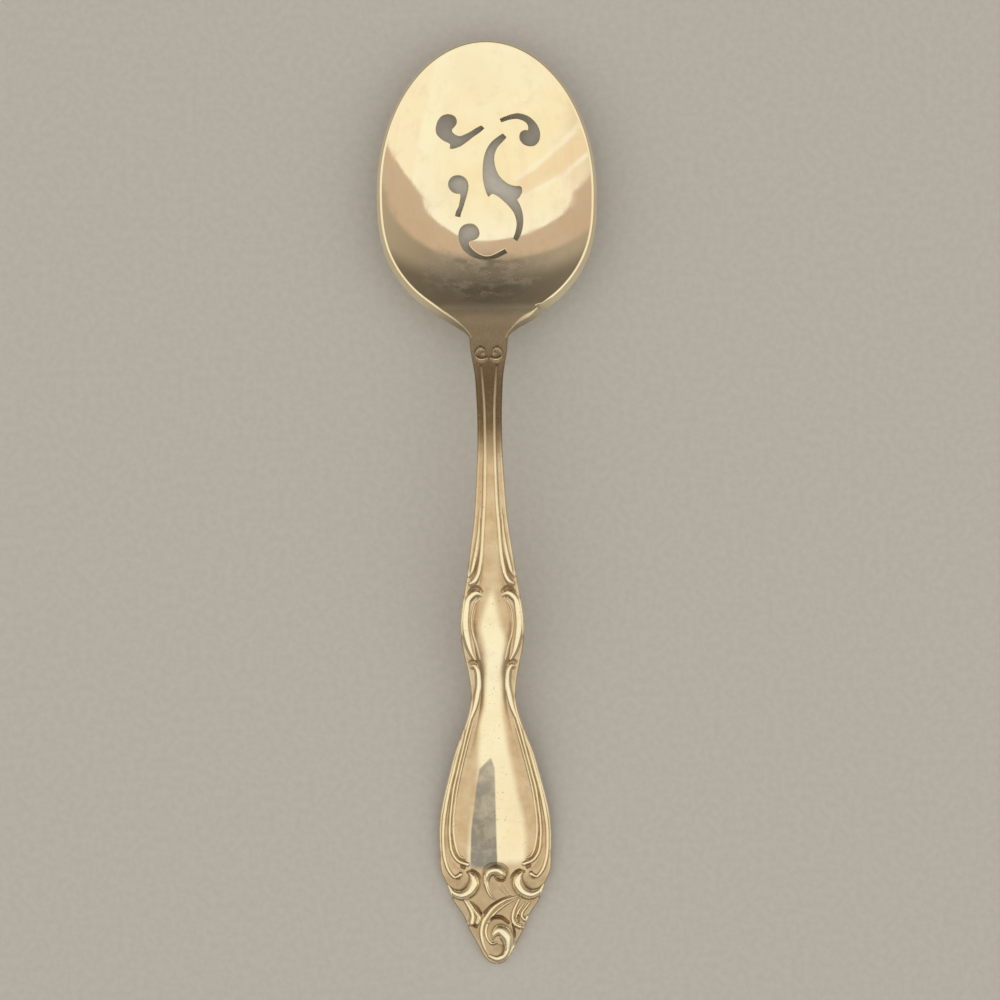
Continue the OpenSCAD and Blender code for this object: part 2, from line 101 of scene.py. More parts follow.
# The leaves notch the edge of the tapering end: where, over what length, how deep, and how its depth waves.
NOTCH_AT, NOTCH_REACH, NOTCH_DEEP, NOTCH_SWING, NOTCH_WAVE = 10.6, 4.6, 0.46, 0.12, 1.309


def handle_half(s):
    """Half the width of the handle, less the notches of the tapering end."""
    s = np.asarray(s, float)
    q = np.clip(1 - (1 - s / TIP) ** 2, 0, 1)
    end = TIP_HALF * np.sqrt(q) + TIP_LEAN * (s - TIP) * s / TIP
    off = s - NOTCH_AT
    notch = (NOTCH_DEEP - NOTCH_SWING * np.cos(off * NOTCH_WAVE)) * np.exp(-(off / NOTCH_REACH) ** 6)
    return np.where(s >= TIP, side_of(s), end) - notch


def between(a, b, c, d, t):
    """Catmull-Rom points on the way from b to c."""
    return 0.5 * (2 * b + (c - a) * t + (2 * a - 5 * b + 4 * c - d) * t * t + (3 * b - a - 3 * c + d) * t ** 3)


def dense(points, step=0.08):
    """Catmull-Rom line through [x, s, half width, height]."""
    p = np.array(points, float)
    last = len(p) - 1
    out = []
    for i in range(last):
        a, b, c, d = p[max(i - 1, 0)], p[i], p[i + 1], p[min(i + 2, last)]
        n = max(2, int(np.hypot(*(c - b)[:2]) / step) + 1)
        out.append(between(a, b, c, d, np.linspace(0, 1, n, endpoint=False)[:, None]))
    return np.concatenate(out + [p[-1:]])


# Relief of the left half, repeated on the right: [x, s, half width, height].
STEM = dense([(-1.2, 98.3, 0.24, 0.09), (-1.05, 96, 0.3, 0.17), (-0.85, 92, 0.3, 0.19),
              (-0.8, 88, 0.3, 0.2), (-0.84, 84, 0.3, 0.2), (-0.93, 80, 0.3, 0.2), (-1.08, 76, 0.3, 0.2),
              (-1.35, 72.1, 0.3, 0.2), (-1.62, 68.4, 0.32, 0.21), (-1.87, 66.4, 0.34, 0.22),
              (-2.2, 64.95, 0.38, 0.26), (-2.8, 63.9, 0.44, 0.29), (-3.44, 63.55, 0.31, 0.17)])
STEM_LEAF = dense([(-1.7, 75.5, 0.16, 0.05), (-1.85, 74.1, 0.22, 0.1), (-1.98, 72.1, 0.26, 0.14),
                   (-2.24, 70.2, 0.3, 0.17), (-2.56, 68.3, 0.34, 0.2), (-2.9, 66.7, 0.36, 0.22),
                   (-3.2, 65.5, 0.32, 0.2), (-3.55, 64.8, 0.2, 0.1)])
STEM_GROOVE = dense([(-1.6, 74, 0.12, 0.04), (-1.68, 71, 0.14, 0.08), (-1.88, 69, 0.15, 0.11),
                     (-2.13, 67.6, 0.16, 0.15), (-2.45, 66.4, 0.18, 0.2), (-2.78, 65.3, 0.18, 0.2),
                     (-3.3, 64.45, 0.16, 0.16), (-3.65, 64.15, 0.14, 0.1)])
WAIST = dense([(-1.72, 61.7, 0.26, 0.13), (-2.49, 61.95, 0.44, 0.26), (-3.25, 61.55, 0.5, 0.28),
               (-3.95, 60.6, 0.5, 0.28), (-4.28, 58.81, 0.56, 0.28), (-4.4, 56.97, 0.57, 0.28),
               (-4.24, 55.13, 0.55, 0.28), (-3.87, 53.3, 0.48, 0.26), (-3.45, 52.1, 0.34, 0.22),
               (-2.92, 51.11, 0.22, 0.14)])
WAIST_DARK = dense([(-3.85, 61.95, 0.2, 0.2), (-3.2, 62.62, 0.27, 0.36), (-2.46, 62.85, 0.27, 0.36),
                    (-1.6, 62.32, 0.18, 0.16)])
WAIST_LINE = dense([(-1.65, 61.55, 0.14, 0.08), (-2.6, 60.55, 0.17, 0.15), (-3.2, 58.81, 0.18, 0.16),
                    (-3.36, 56.97, 0.18, 0.16), (-3.14, 55.13, 0.18, 0.16), (-2.6, 53.29, 0.18, 0.16),
                    (-2.15, 51.32, 0.16, 0.11)])
PINCH_DARK = dense([(-3.8, 50.42, 0.2, 0.2), (-3.14, 50.85, 0.25, 0.36), (-2.34, 50.42, 0.2, 0.22)])
INNER = dense([(-3.45, 49.92, 0.23, 0.11), (-3, 50.02, 0.34, 0.22), (-2.52, 48.97, 0.41, 0.27),
               (-2.42, 46.82, 0.46, 0.27), (-2.72, 44.84, 0.5, 0.27), (-3.15, 43.02, 0.44, 0.26),
               (-3.8, 41.2, 0.34, 0.24), (-4.42, 39, 0.28, 0.22), (-5, 36.6, 0.26, 0.21),
               (-5.58, 34.3, 0.26, 0.21), (-6.17, 31.9, 0.26, 0.21), (-6.75, 29.5, 0.26, 0.21),
               (-7.09, 27.1, 0.26, 0.21), (-7.37, 24.8, 0.26, 0.21), (-7.53, 22.4, 0.26, 0.21),
               (-7.48, 20.8, 0.26, 0.21), (-7.37, 19.6, 0.26, 0.22), (-7.15, 18.76, 0.27, 0.22),
               (-6.8, 18.09, 0.28, 0.24), (-6.36, 17.54, 0.3, 0.26), (-5.73, 17.15, 0.32, 0.27),
               (-5.1, 16.96, 0.34, 0.27), (-4.65, 16.8, 0.34, 0.26)])
INNER_FINE = dense([(-3.2, 41.4, 0.14, 0.06), (-3.85, 39, 0.2, 0.14), (-4.5, 36.6, 0.22, 0.18),
                    (-5.08, 34.3, 0.22, 0.18), (-5.65, 31.9, 0.22, 0.18), (-6.18, 29.5, 0.22, 0.18),
                    (-6.58, 27.1, 0.22, 0.18), (-6.84, 24.8, 0.22, 0.19), (-6.93, 22.4, 0.24, 0.2),
                    (-6.8, 21, 0.24, 0.2), (-6.64, 20.17, 0.24, 0.2), (-6.41, 19.17, 0.23, 0.2),
                    (-6.13, 18.5, 0.22, 0.2), (-5.72, 17.99, 0.2, 0.2), (-5.14, 17.81, 0.16, 0.12)])
INNER_GROOVE = dense([(-3.5, 41.4, 0.1, 0.05), (-4.15, 39, 0.13, 0.1), (-4.76, 36.6, 0.13, 0.1),
                      (-5.33, 34.3, 0.13, 0.1), (-5.92, 31.9, 0.13, 0.1), (-6.47, 29.5, 0.13, 0.11),
                      (-6.84, 27.1, 0.13, 0.12), (-7.12, 24.8, 0.13, 0.13), (-7.24, 22.4, 0.14, 0.14),
                      (-7.12, 20.8, 0.14, 0.14), (-7.02, 19.76, 0.15, 0.15), (-6.7, 18.75, 0.16, 0.16),
                      (-6.13, 17.99, 0.17, 0.17), (-5.56, 17.57, 0.18, 0.17), (-4.98, 17.5, 0.14, 0.1)])
INNER_PIT = dense([(-5.56, 16.44, 0.4, 0.35), (-5.28, 16.3, 0.4, 0.35)])
RIM = dense([(-4.9, 39.2, 0.16, 0.06), (-5.3, 37.74, 0.24, 0.12), (-6.2, 34.44, 0.32, 0.19),
             (-6.88, 31.8, 0.34, 0.22), (-7.48, 29.48, 0.36, 0.22), (-8.2, 26, 0.34, 0.22),
             (-8.6, 23, 0.31, 0.21), (-8.65, 20.5, 0.3, 0.21), (-8.6, 19.04, 0.3, 0.22),
             (-8.42, 17.67, 0.3, 0.22), (-7.95, 16.1, 0.3, 0.24), (-7.3, 15.06, 0.3, 0.26),
             (-6.74, 14.63, 0.3, 0.27), (-6.3, 14.8, 0.31, 0.29), (-5.82, 15.12, 0.36, 0.29)])
RIM_PIT = dense([(-6.5, 14.3, 0.28, 0.3), (-6.12, 14.35, 0.28, 0.3)])
CHANNEL = dense([(-5.3, 36.6, 0.12, 0.04), (-5.9, 34.4, 0.16, 0.07), (-6.53, 31.8, 0.18, 0.09),
                 (-7.12, 29.48, 0.2, 0.09), (-7.65, 26, 0.27, 0.09), (-8.06, 23, 0.3, 0.09),
                 (-8.1, 20.5, 0.32, 0.09), (-7.95, 19.04, 0.34, 0.09), (-7.6, 17.8, 0.38, 0.09),
                 (-7.05, 16.7, 0.4, 0.09), (-6.2, 15.9, 0.4, 0.09), (-5.5, 15.7, 0.3, 0.09)])
CHEEK = dense([(-7.93, 13.28, 0.2, 0.14), (-7.15, 12.15, 0.55, 0.44), (-5.75, 11.65, 0.86, 0.7),
               (-4.35, 12.3, 1, 0.85), (-3.62, 13.56, 1, 0.85), (-3.8, 14.72, 0.74, 0.63),
               (-4.3, 15.37, 0.34, 0.3)])
CHEEK_PIT = dense([(-6.35, 13.42, 1.3, 0.15), (-5.8, 13.56, 1.3, 0.15)])
CHEEK_DARK = dense([(-4.75, 15.45, 0.2, 0.2), (-3.85, 15.72, 0.24, 0.3), (-2.97, 15.23, 0.24, 0.26),
                    (-2.5, 14.45, 0.2, 0.14)])
NECK_EYE = dense([(-0.2, 99.75, 0.15, 0.12), (-1.1, 99.45, 0.27, 0.3), (-1.85, 99.72, 0.2, 0.24),
                  (-2.15, 100.3, 0.16, 0.14), (-1.95, 100.95, 0.16, 0.14), (-1.4, 101.35, 0.16, 0.18),
                  (-0.75, 101.1, 0.16, 0.18), (-0.75, 100.55, 0.16, 0.2), (-1.2, 100.4, 0.16, 0.2)])
# Relief of the end of the handle, which isn't the same on both sides.
CREST = dense([(0.06, 10.93, 0.17, 0.09), (-0.89, 11.57, 0.32, 0.19), (-1.49, 13.01, 0.42, 0.26),
               (-1.56, 14.52, 0.58, 0.44), (-0.95, 15.6, 0.76, 0.63), (0.2, 15.85, 0.91, 0.78),
               (1, 15.3, 0.89, 0.8), (0.95, 14.75, 0.53, 0.5)])
CREST_DARK = dense([(-2.24, 14.93, 0.14, 0.06), (-1.93, 16.05, 0.16, 0.11), (-1.1, 16.81, 0.18, 0.13),
                    (0, 17.03, 0.18, 0.13), (1.12, 16.81, 0.18, 0.12), (1.98, 16, 0.16, 0.09),
                    (2.1, 15.07, 0.14, 0.04)])
CREST_EYE = dense([(-0.17, 14.59, 0.2, 0.2), (0.31, 14.24, 0.26, 0.32), (1.13, 14.08, 0.24, 0.28),
                   (1.68, 14.41, 0.18, 0.12)])
CREST_GROOVE = dense([(-1.56, 14.52, 0.14, 0.1), (-1.34, 13.01, 0.16, 0.16), (-0.73, 11.67, 0.16, 0.16),
                      (0.13, 10.95, 0.12, 0.1)])
VEIN_A = dense([(0.44, 13.63, 0.14, 0.12), (0.84, 12.67, 0.17, 0.2), (1.78, 11.71, 0.14, 0.1)])
VEIN_B = dense([(1.19, 13.69, 0.14, 0.12), (1.66, 12.8, 0.17, 0.2), (2.47, 11.57, 0.14, 0.1)])
TIP_OUTER = dense([(3.56, 11.34, 0.2, 0.1), (1.63, 10.84, 0.31, 0.23), (-0.12, 9.83, 0.38, 0.29),
                   (-1.32, 8.51, 0.4, 0.31), (-2.16, 7.12, 0.4, 0.31), (-2.53, 5.61, 0.39, 0.29),
                   (-2.44, 4.24, 0.36, 0.24), (-2.04, 2.8, 0.29, 0.17), (-1.43, 1.74, 0.2, 0.08)])
TIP_INNER = dense([(3.14, 10.93, 0.17, 0.08), (1.62, 10.1, 0.24, 0.19), (0.06, 8.94, 0.26, 0.23),
                   (-0.98, 7.71, 0.28, 0.25), (-1.65, 6.4, 0.28, 0.25), (-1.77, 5.2, 0.28, 0.25),
                   (-1.44, 4.17, 0.26, 0.23), (-0.79, 3.55, 0.25, 0.22), (-0.01, 3.74, 0.19, 0.11)])
TIP_DARK = dense([(-2.03, 8.73, 0.2, 0.26), (-0.71, 9.97, 0.2, 0.28), (0.95, 10.93, 0.18, 0.24),
                  (2.46, 11.42, 0.14, 0.12)])
VOLUTE = dense([(-0.65, 4.17, 0.18, 0.1), (-0.4, 5.13, 0.55, 0.48), (0.5, 5.75, 1.05, 0.8),
                (1.42, 5.1, 1.2, 0.92), (1.9, 3.89, 0.98, 0.76), (1.87, 2.46, 0.72, 0.52),
                (1.2, 1.4, 0.58, 0.36), (-0.01, 1.0, 0.5, 0.28), (-1.23, 1.42, 0.36, 0.18)])
VOLUTE_DARK = dense([(-1.36, 7.09, 0.22, 0.25), (-0.46, 7.87, 0.34, 0.45), (0.84, 7.87, 0.34, 0.45),
                     (1.99, 6.98, 0.26, 0.3)])
VOLUTE_PIT = dense([(-0.19, 2.73, 0.95, 0.2), (0.77, 2.46, 0.95, 0.2)])
LEAF_L = [dense([(-5.22, 10.82, 0.3, 0.15), (-4.37, 9.45, 0.4, 0.33), (-3.95, 8.21, 0.42, 0.4),
                 (-4.11, 6.98, 0.52, 0.44)]),
          dense([(-4.67, 10.75, 0.22, 0.15), (-3.66, 9.24, 0.3, 0.35), (-2.86, 8.08, 0.45, 0.55),
                 (-3.15, 6.98, 0.38, 0.39)])]
LEAF_L_DARK = dense([(-4.22, 10.51, 0.16, 0.15), (-3.11, 9.56, 0.2, 0.3), (-2.47, 8.6, 0.18, 0.25)])
LEAF_L_PIT = dense([(-3.7, 6.5, 0.26, 0.35), (-3.36, 6.29, 0.26, 0.3)])
LEAF_R = [dense([(3.79, 10.82, 0.26, 0.15), (2.96, 9.17, 0.31, 0.33), (2.69, 7.73, 0.35, 0.4),
                 (3.09, 6.77, 0.41, 0.44), (3.94, 6.29, 0.46, 0.44)]),
          dense([(4.64, 10.27, 0.19, 0.13), (3.66, 8.9, 0.24, 0.31), (3.38, 7.87, 0.22, 0.22)]),
          dense([(5.6, 10.34, 0.22, 0.15), (4.49, 8.9, 0.26, 0.33), (4.2, 8.08, 0.29, 0.37),
                 (4.81, 7.39, 0.36, 0.4), (5.16, 7.94, 0.31, 0.28)])]
LEAF_R_PIT = dense([(3.58, 8.08, 0.24, 0.3), (3.74, 7.25, 0.22, 0.25)])
LEAF_R_DARK = dense([(2.68, 6.7, 0.18, 0.2), (2.94, 5.61, 0.2, 0.3), (3.06, 4.51, 0.16, 0.15)])

# Which lines stand up and which are sunk; the power sets how round the section is.
PAIRED = [(STEM, 0.6), (STEM_LEAF, 0.8), (WAIST, 0.5), (WAIST_LINE, 1), (INNER, 0.6), (INNER_FINE, 0.7),
          (RIM, 0.6), (CHEEK, 0.8), (NECK_EYE, 1.2)]
PAIRED_SUNK = [STEM_GROOVE, WAIST_DARK, PINCH_DARK, INNER_GROOVE, INNER_PIT, RIM_PIT, CHANNEL, CHEEK_PIT,
               CHEEK_DARK]
SINGLE = [(CREST, 0.9), (VEIN_A, 1.6), (VEIN_B, 1.6), (TIP_OUTER, 0.9), (TIP_INNER, 0.9), (VOLUTE, 0.8)]
SINGLE += [(line, 0.9) for line in LEAF_L + LEAF_R]
SINGLE_SUNK = [CREST_DARK, CREST_EYE, CREST_GROOVE, TIP_DARK, VOLUTE_DARK, VOLUTE_PIT, LEAF_L_DARK,
               LEAF_L_PIT, LEAF_R_PIT, LEAF_R_DARK]
# A distance in half widths that is past every line.
FAR = 9.0


def reach(line, x, s, pad=1.7):
    """Distance to a line in half widths, and the line's height there."""
    u = np.full(x.shape, FAR)
    h = np.zeros(x.shape)
    m = line[:, 2].max() * pad
    low, high = line[:, :2].min(0) - m, line[:, :2].max(0) + m
    near = np.nonzero((x > low[0]) & (x < high[0]) & (s > low[1]) & (s < high[1]))[0]
    if len(near):
        for part in np.array_split(near, len(near) * len(line) // 3000000 + 1):
            d = (x[part, None] - line[:, 0]) ** 2 + (s[part, None] - line[:, 1]) ** 2
            k = d.argmin(1)
            u[part] = np.sqrt(d[np.arange(len(part)), k]) / line[k, 2]
            h[part] = line[k, 3]
    return u, h


def neck_darkening(s):
    """The stem and the neck are darker and duller: coming in from s 81 to 90, easing a little past 95, gone by
    s 110.
    """
    return smoothstep((s - 81) / 9) * (1 - 0.22 * smoothstep((s - 95) / 7)) * smoothstep((110 - s) / 6)


# Residue in a sunk line; residue and painted shade at the foot of a raised one; and how much a raised line
# wipes off.
IN_HOLLOW, FOOT_RESIDUE_AND_SHADE, WIPED = 2.2, 0.5, 1.2
# Heights at which a line has its full foot of residue and painted shade, and stands wholly clear of the
# ground, free of the painted tan reflection.
FOOT_HEIGHT, CLEAR_HEIGHT = 0.4, 0.25
# How dull the ground between the ornaments of the end is, below END.
END, END_DULL = 16, 0.28


def relief(x, s):
    """Height of the struck relief; residue in its hollows and painted shade at the feet of its raised lines,
    with the stem's and the end's darkening; and how far it stands clear of the ground.
    """
    up, down, foot = np.zeros(x.shape), np.zeros(x.shape), np.zeros(x.shape)
    left = -np.abs(x)
    for lines, across in ((PAIRED, left), (SINGLE, x)):
        for line, power in lines:
            u, h = reach(line, across, s)
            up += (h * np.cos(np.minimum(u, 1) * math.pi / 2) ** power) ** 4
            # A ring of residue and painted shade round the foot of each raised line, fuller for taller lines.
            foot = np.maximum(foot, np.minimum(h / FOOT_HEIGHT, 1) * np.exp(-((u - 1.1) / 0.3) ** 2))
    for lines, across in ((PAIRED_SUNK, left), (SINGLE_SUNK, x)):
        for line in lines:
            u, h = reach(line, across, s)
            down += (h * np.cos(np.minimum(u, 1) * math.pi / 2)) ** 4
    up, down = up ** 0.25, down ** 0.25
    clear = np.clip(up / CLEAR_HEIGHT, 0, 1)
    patina_and_shade = np.clip(IN_HOLLOW * down + FOOT_RESIDUE_AND_SHADE * foot - WIPED * up, 0, 1)
    # Share of the stem's darkening that the raised lines are spared, more of it from s 97 on.
    fraction = 0.6 + 0.35 * smoothstep((s - 97) / 2)
    end = END_DULL * smoothstep((END - s) / 2) * (1 - clear)
    dull = np.maximum(neck_darkening(s) * (1 - fraction * clear), end)
    return up - down, np.maximum(patina_and_shade, dull), clear


# Painted highlight: between these edges the panel and the waist are left bright instead of taking the painted
# tan reflection.
bright_left = curve([(15, -4.6), (21, -4.3), (31, -2.7), (40, -2.5), (44, -1.5), (51, -1.2), (53.7, -1.4),
                     (56.8, -1.9), (60, -1), (63.6, -0.1), (110, -0.1)])
bright_right = curve([(15, 4.9), (21, 5), (31, 3.3), (40, 1.8), (44, 1.6), (51, 1.8), (53.7, 2.3),
                      (56.8, 1.3), (60, 0.7), (63.6, 0.2), (110, 0.2)])
BRIGHT_EDGE = 1.4
# Strength of the painted tan reflection, and how much of it the painted highlight takes away.
TAN, TAN_UNDER_HIGHLIGHT = 0.85, 0.83


def painted_tan_reflection(x, s):
    """Painted tan reflection of the warm surroundings over the ground; the middle of the panel and of the
    waist is left bright as a painted highlight.
    """
    along, s = s, np.clip(s, 15, 105)
    bright = (smoothstep((x - bright_left(s)) / BRIGHT_EDGE + 0.5)
              * smoothstep((bright_right(s) - x) / BRIGHT_EDGE + 0.5))
    tan = TAN - TAN_UNDER_HIGHLIGHT * bright * smoothstep((s - 16) / 2) * smoothstep((64 - s) / 3)
    return tan * smoothstep((102 - along) / 6)


def painted_dark_reflection_band(x, s):
    """A painted dark reflection: a grey band left of the middle of the panel, pointed at the top, and a little
    hazier.
    """
    foot, point, point_at = 17.7, 34.9, -0.55
    left = np.interp(s, [foot, 22.9, 26.85, 30.4, 32.9, point], [-4.15, -3.92, -3.45, -2.92, -2.45, point_at])
    right = np.interp(s, [foot, 33.07, point], [0.23, 0.04, point_at])
    wide = smoothstep((x - left) / 0.35 + 0.5) * smoothstep((right - x) / 0.3 + 0.5)
    ends = smoothstep((s - 15.5) / 1.5) * smoothstep((point - s) / 0.4)
    return wide * ends * np.interp(s, [20, 30], [1.4, 1])


def handle_top(x, s):
    """Height of the handle's face with its relief, and the look of the metal there."""
    shape = x.shape
    x, s = x.ravel(), s.ravel()
    across = np.clip(x / np.maximum(handle_half(s), 0.05), -1, 1)
    body = back_of(s) + edge_of(s) + crown_of(s) * (1 - across ** 2)
    wide = panel_half(s)
    dome = np.maximum(panel_rise(s), 0) * np.where(s > 14, 1, 0) * np.clip(1 - np.abs(x / wide) ** 2.4, 0, 1)
    rise, patina_and_shade, clear = relief(x, s)
    # The tone look is a painted tan reflection and the band look a painted dark reflection; raised relief is
    # spared both, so its tops read as painted highlights.
    looks = {"patina_and_shade": patina_and_shade, "tone": painted_tan_reflection(x, s) * (1 - clear), "haze_and_painted_reflection": painted_dark_reflection_band(x, s) * (1 - clear)}
    return (body + dome + rise).reshape(shape), {key: value.reshape(shape) for key, value in looks.items()}


def covered(lines, x, s):
    """Distance to the nearest of some lines, in half widths."""
    return np.min([reach(line, x, s)[0] for line in lines], 0)


# The ornaments that are pieces of their own: name, lines, and whether there is one on each side.
PATCHES = [("neck_scroll", [NECK_EYE], True), ("stem_thread", [STEM], True), ("waist_scroll", [WAIST], True),
           ("inner_thread", [INNER], True), ("rim_thread", [RIM], True), ("cheek_scroll", [CHEEK], True),
           ("crest_curl", [CREST], False), ("side_leaf_left", LEAF_L, False),
           ("side_leaf_right", LEAF_R, False), ("tip_leaf", [TIP_OUTER, TIP_INNER], False),
           ("tip_volute", [VOLUTE], False)]
# How far the handle is lowered under an ornament, and the ornament's skin: its reach in half widths, its lift
# over the handle, how far its edge is tucked in, and how deep its floor lies below the handle's edge.
LOWERED = 0.12
SKIN_REACH, SKIN_LIFT, SKIN_TUCK, SKIN_DEEP = 1.12, 0.012, 0.09, 0.4


def add_mesh(name, points, faces, normals, looks):
    """A piece from points in millimetres, with its own shading normals and painted looks."""
    co = (np.asarray(points) - [0, CENTRE, HEEL]) * MM
    mesh = bpy.data.meshes.new(name)
    mesh.from_pydata(co.tolist(), [], faces)
    mesh.polygons.foreach_set("use_smooth", np.ones(len(mesh.polygons), bool))
    for key, values in looks.items():
        layer = mesh.attributes.new(key, "FLOAT", "POINT")
        layer.data.foreach_set("value", np.asarray(values, np.float32))
    normals = normals / np.linalg.norm(normals, axis=1)[:, None]
    mesh.normals_split_custom_set_from_vertices(normals.tolist())
    piece = bpy.data.objects.new(name, mesh)
    bpy.context.collection.objects.link(piece)
    return piece


def handle():
    """The handle: rings from the tip to the neck, with rounded edges and the relief on top."""
    turn = np.radians(np.concatenate([[5, 12], np.arange(20, 90, 6)]))
    s = np.concatenate([TIP * (1 - np.cos(turn)), np.arange(TIP, FINE_TO, FINE_STEP),
                        np.linspace(FINE_TO, NECK, PLAIN_RINGS)])
    b = handle_half(s)
    ds, db = np.gradient(s), np.gradient(b)
    size = np.hypot(ds, db)
    ox, os = ds / size, -db / size
    ox[-1], os[-1] = 1, 0
    r = EDGE_ROUND
    x_in, s_in = b - r * ox, s - r * os
    share = np.linspace(-1, 1, ACROSS)
    x = share * x_in[:, None]
    along = np.repeat(s_in[:, None], len(share), 1)
    z, top_looks = handle_top(x, along)
    rows = [np.stack([x, along, z], -1)]
    arc = np.radians(ROUND_STEPS)
    half = handle_half(s_in)
    back = np.linspace(1, -1, 25)
    xb = back * x_in[:, None]
    zb = back_of(s_in)[:, None] - bulge_of(s_in)[:, None] * (1 - np.clip(xb / half[:, None], -1, 1) ** 2)

    def edge(side, z_edge, upward, angles):
        out = np.sin(angles) * r
        away = r * (1 - np.cos(angles))
        px = side * (x_in[:, None] + out * ox[:, None])
        ps = s_in[:, None] + out * os[:, None]
        return np.stack([px, ps, z_edge[:, None] + upward * away], -1)

    rows.append(edge(1, z[:, -1], -1, arc))
    rows.append(edge(1, zb[:, 0], 1, arc[::-1]))
    rows.append(np.stack([xb, np.repeat(s_in[:, None], len(back), 1), zb], -1))
    rows.append(edge(-1, zb[:, -1], 1, arc))
    rows.append(edge(-1, z[:, 0], -1, arc[::-1]))
    p = np.concatenate(rows, 1)
    across = np.roll(p, -1, 1) - np.roll(p, 1, 1)
    normals = np.cross(across, np.gradient(p, axis=0))
    cover = np.full(x.size, FAR)
    for _, lines, paired in PATCHES:
        cover = np.minimum(cover, covered(lines, -np.abs(x.ravel()) if paired else x.ravel(), along.ravel()))
    p[:, :len(share), 2] -= LOWERED * smoothstep((1.05 - cover.reshape(x.shape)) / 0.2)
    n, m = p.shape[:2]
    looks = {}
    for key, values in top_looks.items():
        # The rounded edges carry 0.6 of the painted tan reflection of the top beside them, and the whole of
        # the other looks.
        fraction = 0.6 if key == "tone" else 1.0
        looks[key] = np.zeros((n, m))
        looks[key][:, :len(share)] = values
        looks[key][:, len(share):len(share) + 2 * len(arc)] = fraction * values[:, -1:]
        looks[key][:, -2 * len(arc):] = fraction * values[:, :1]
    i, j = np.meshgrid(np.arange(n - 1), np.arange(m), indexing="ij")
    k = (j + 1) % m
    quads = np.stack([i * m + j, i * m + k, (i + 1) * m + k, (i + 1) * m + j], -1).reshape(-1, 4).tolist()
    quads.append(list(range(m))[::-1])
    quads.append([(n - 1) * m + q for q in range(m)])
    return add_mesh("handle_body", p.reshape(-1, 3), quads, normals.reshape(-1, 3),
                    {key: values.ravel() for key, values in looks.items()})


def patch(name, lines, side, step=0.06):
    """One raised ornament: a skin over the relief inside its own outline, closed by a floor in the handle."""
    every = np.concatenate(lines)
    m = every[:, 2].max() * 1.3 + 0.1
    low, high = every[:, :2].min(0) - m, every[:, :2].max(0) + m
    x, s = np.meshgrid(np.arange(low[0], high[0], step), np.arange(low[1], high[1], step), indexing="ij")
    u = covered(lines, x.ravel(), s.ravel()).reshape(x.shape)
    inside = (u < SKIN_REACH) & (np.abs(x) < handle_half(s) - 0.03) & (s > 0.03)
    cell = inside[:-1, :-1] & inside[1:, :-1] & inside[1:, 1:] & inside[:-1, 1:]
    for _ in range(20):  # cells that meet only at a corner get a neighbour
        a = cell[:-1, :-1] & cell[1:, 1:] & ~cell[1:, :-1] & ~cell[:-1, 1:]
        b = ~cell[:-1, :-1] & ~cell[1:, 1:] & cell[1:, :-1] & cell[:-1, 1:]
        if not (a.any() or b.any()):
            break
        cell[1:, :-1] |= a
        cell[:-1, :-1] |= b
    used = np.zeros(x.shape, bool)
    for di in (0, 1):
        for dj in (0, 1):
            used[di:di + cell.shape[0], dj:dj + cell.shape[1]] |= cell
    x = side * x
    z, looks = handle_top(x, s)
    gx = np.gradient(z, axis=0) / (side * step)
    gs = np.gradient(z, axis=1) / step
    top = z + SKIN_LIFT - SKIN_TUCK * smoothstep((u - 0.92) / 0.2)
    floor = back_of(s) + edge_of(s) - SKIN_DEEP
    count = used.sum()
    index = np.full(x.shape, -1)
    index[used] = np.arange(count)
    points = np.concatenate([np.stack([x[used], s[used], z_of[used]], -1) for z_of in (top, floor)])
    up = np.stack([-gx[used], -gs[used], np.ones(count)], -1)
    normals = np.concatenate([up, np.tile([0.0, 0.0, -1.0], (count, 1))])
    a, b, c, d = index[:-1, :-1], index[1:, :-1], index[1:, 1:], index[:-1, 1:]
    quads = [np.stack([q[cell] for q in (a, b, c, d)], -1),
             np.stack([q[cell] + count for q in (a, d, c, b)], -1)]
    grown = np.pad(cell, 1)
    beside = grown[1:-1, :-2], grown[2:, 1:-1], grown[1:-1, 2:], grown[:-2, 1:-1]
    for first, second, next_cell in zip((a, b, c, d), (b, c, d, a), beside):
        wall = cell & ~next_cell
        f, g = first[wall], second[wall]
        quads.append(np.stack([f, f + count, g + count, g], -1))
    quads = np.concatenate(quads)
    if side < 0:
        quads = quads[:, ::-1]
    looks = {key: np.concatenate([values[used], np.zeros(count)]) for key, values in looks.items()}
    return add_mesh(name, points, quads.tolist(), normals, looks)


# Bowl. The nick in its right shoulder has a lip on the side of the neck, where the edge is rounder.
NICK_AT, NICK_DEEP, NICK_HALF = 107.55, 0.8, 0.24
LIP_BEFORE, LIP_OUT, LIP_LENGTH = 1.6, 0.3, 0.9
ROUNDER_AT, ROUNDER = 105.7, 0.4
# The rounding of the rim past the shoulders' first stretch; within and beside the nick it is sharper.
RIM_FROM, RIM_ROUND = 112, 0.32
NICK_SHARP, NICK_BESIDE = (0.5, 0.1), (1.6, 0.38)
# How steeply the top of the handle falls to the bowl; the bowl's shading begins with the same slope.
NECK_FALL, NECK_BLEND = 0.3055, 8


def shoulder(s):
    """Half the width of the bowl from the neck to its widest place."""
    q = np.clip((s - NECK) / SHOULDER, 0, 1)
    flare = (1 - (1 - q) ** 2.8) * (1 - np.exp(-q * SHOULDER / 2))
    return NECK_HALF + (HALF_RIM - NECK_HALF) * flare


def under(x, s):
    """Height of the bowl's underside."""
    x, s = np.asarray(x, float), np.asarray(s, float)
    square = np.where(s > WIDE, HALF_RIM ** 2 * (1 - ((s - WIDE) / NOSE_LENGTH) ** 2), shoulder(s) ** 2)
    return back_of(s) + DISH * (x ** 2 - square)


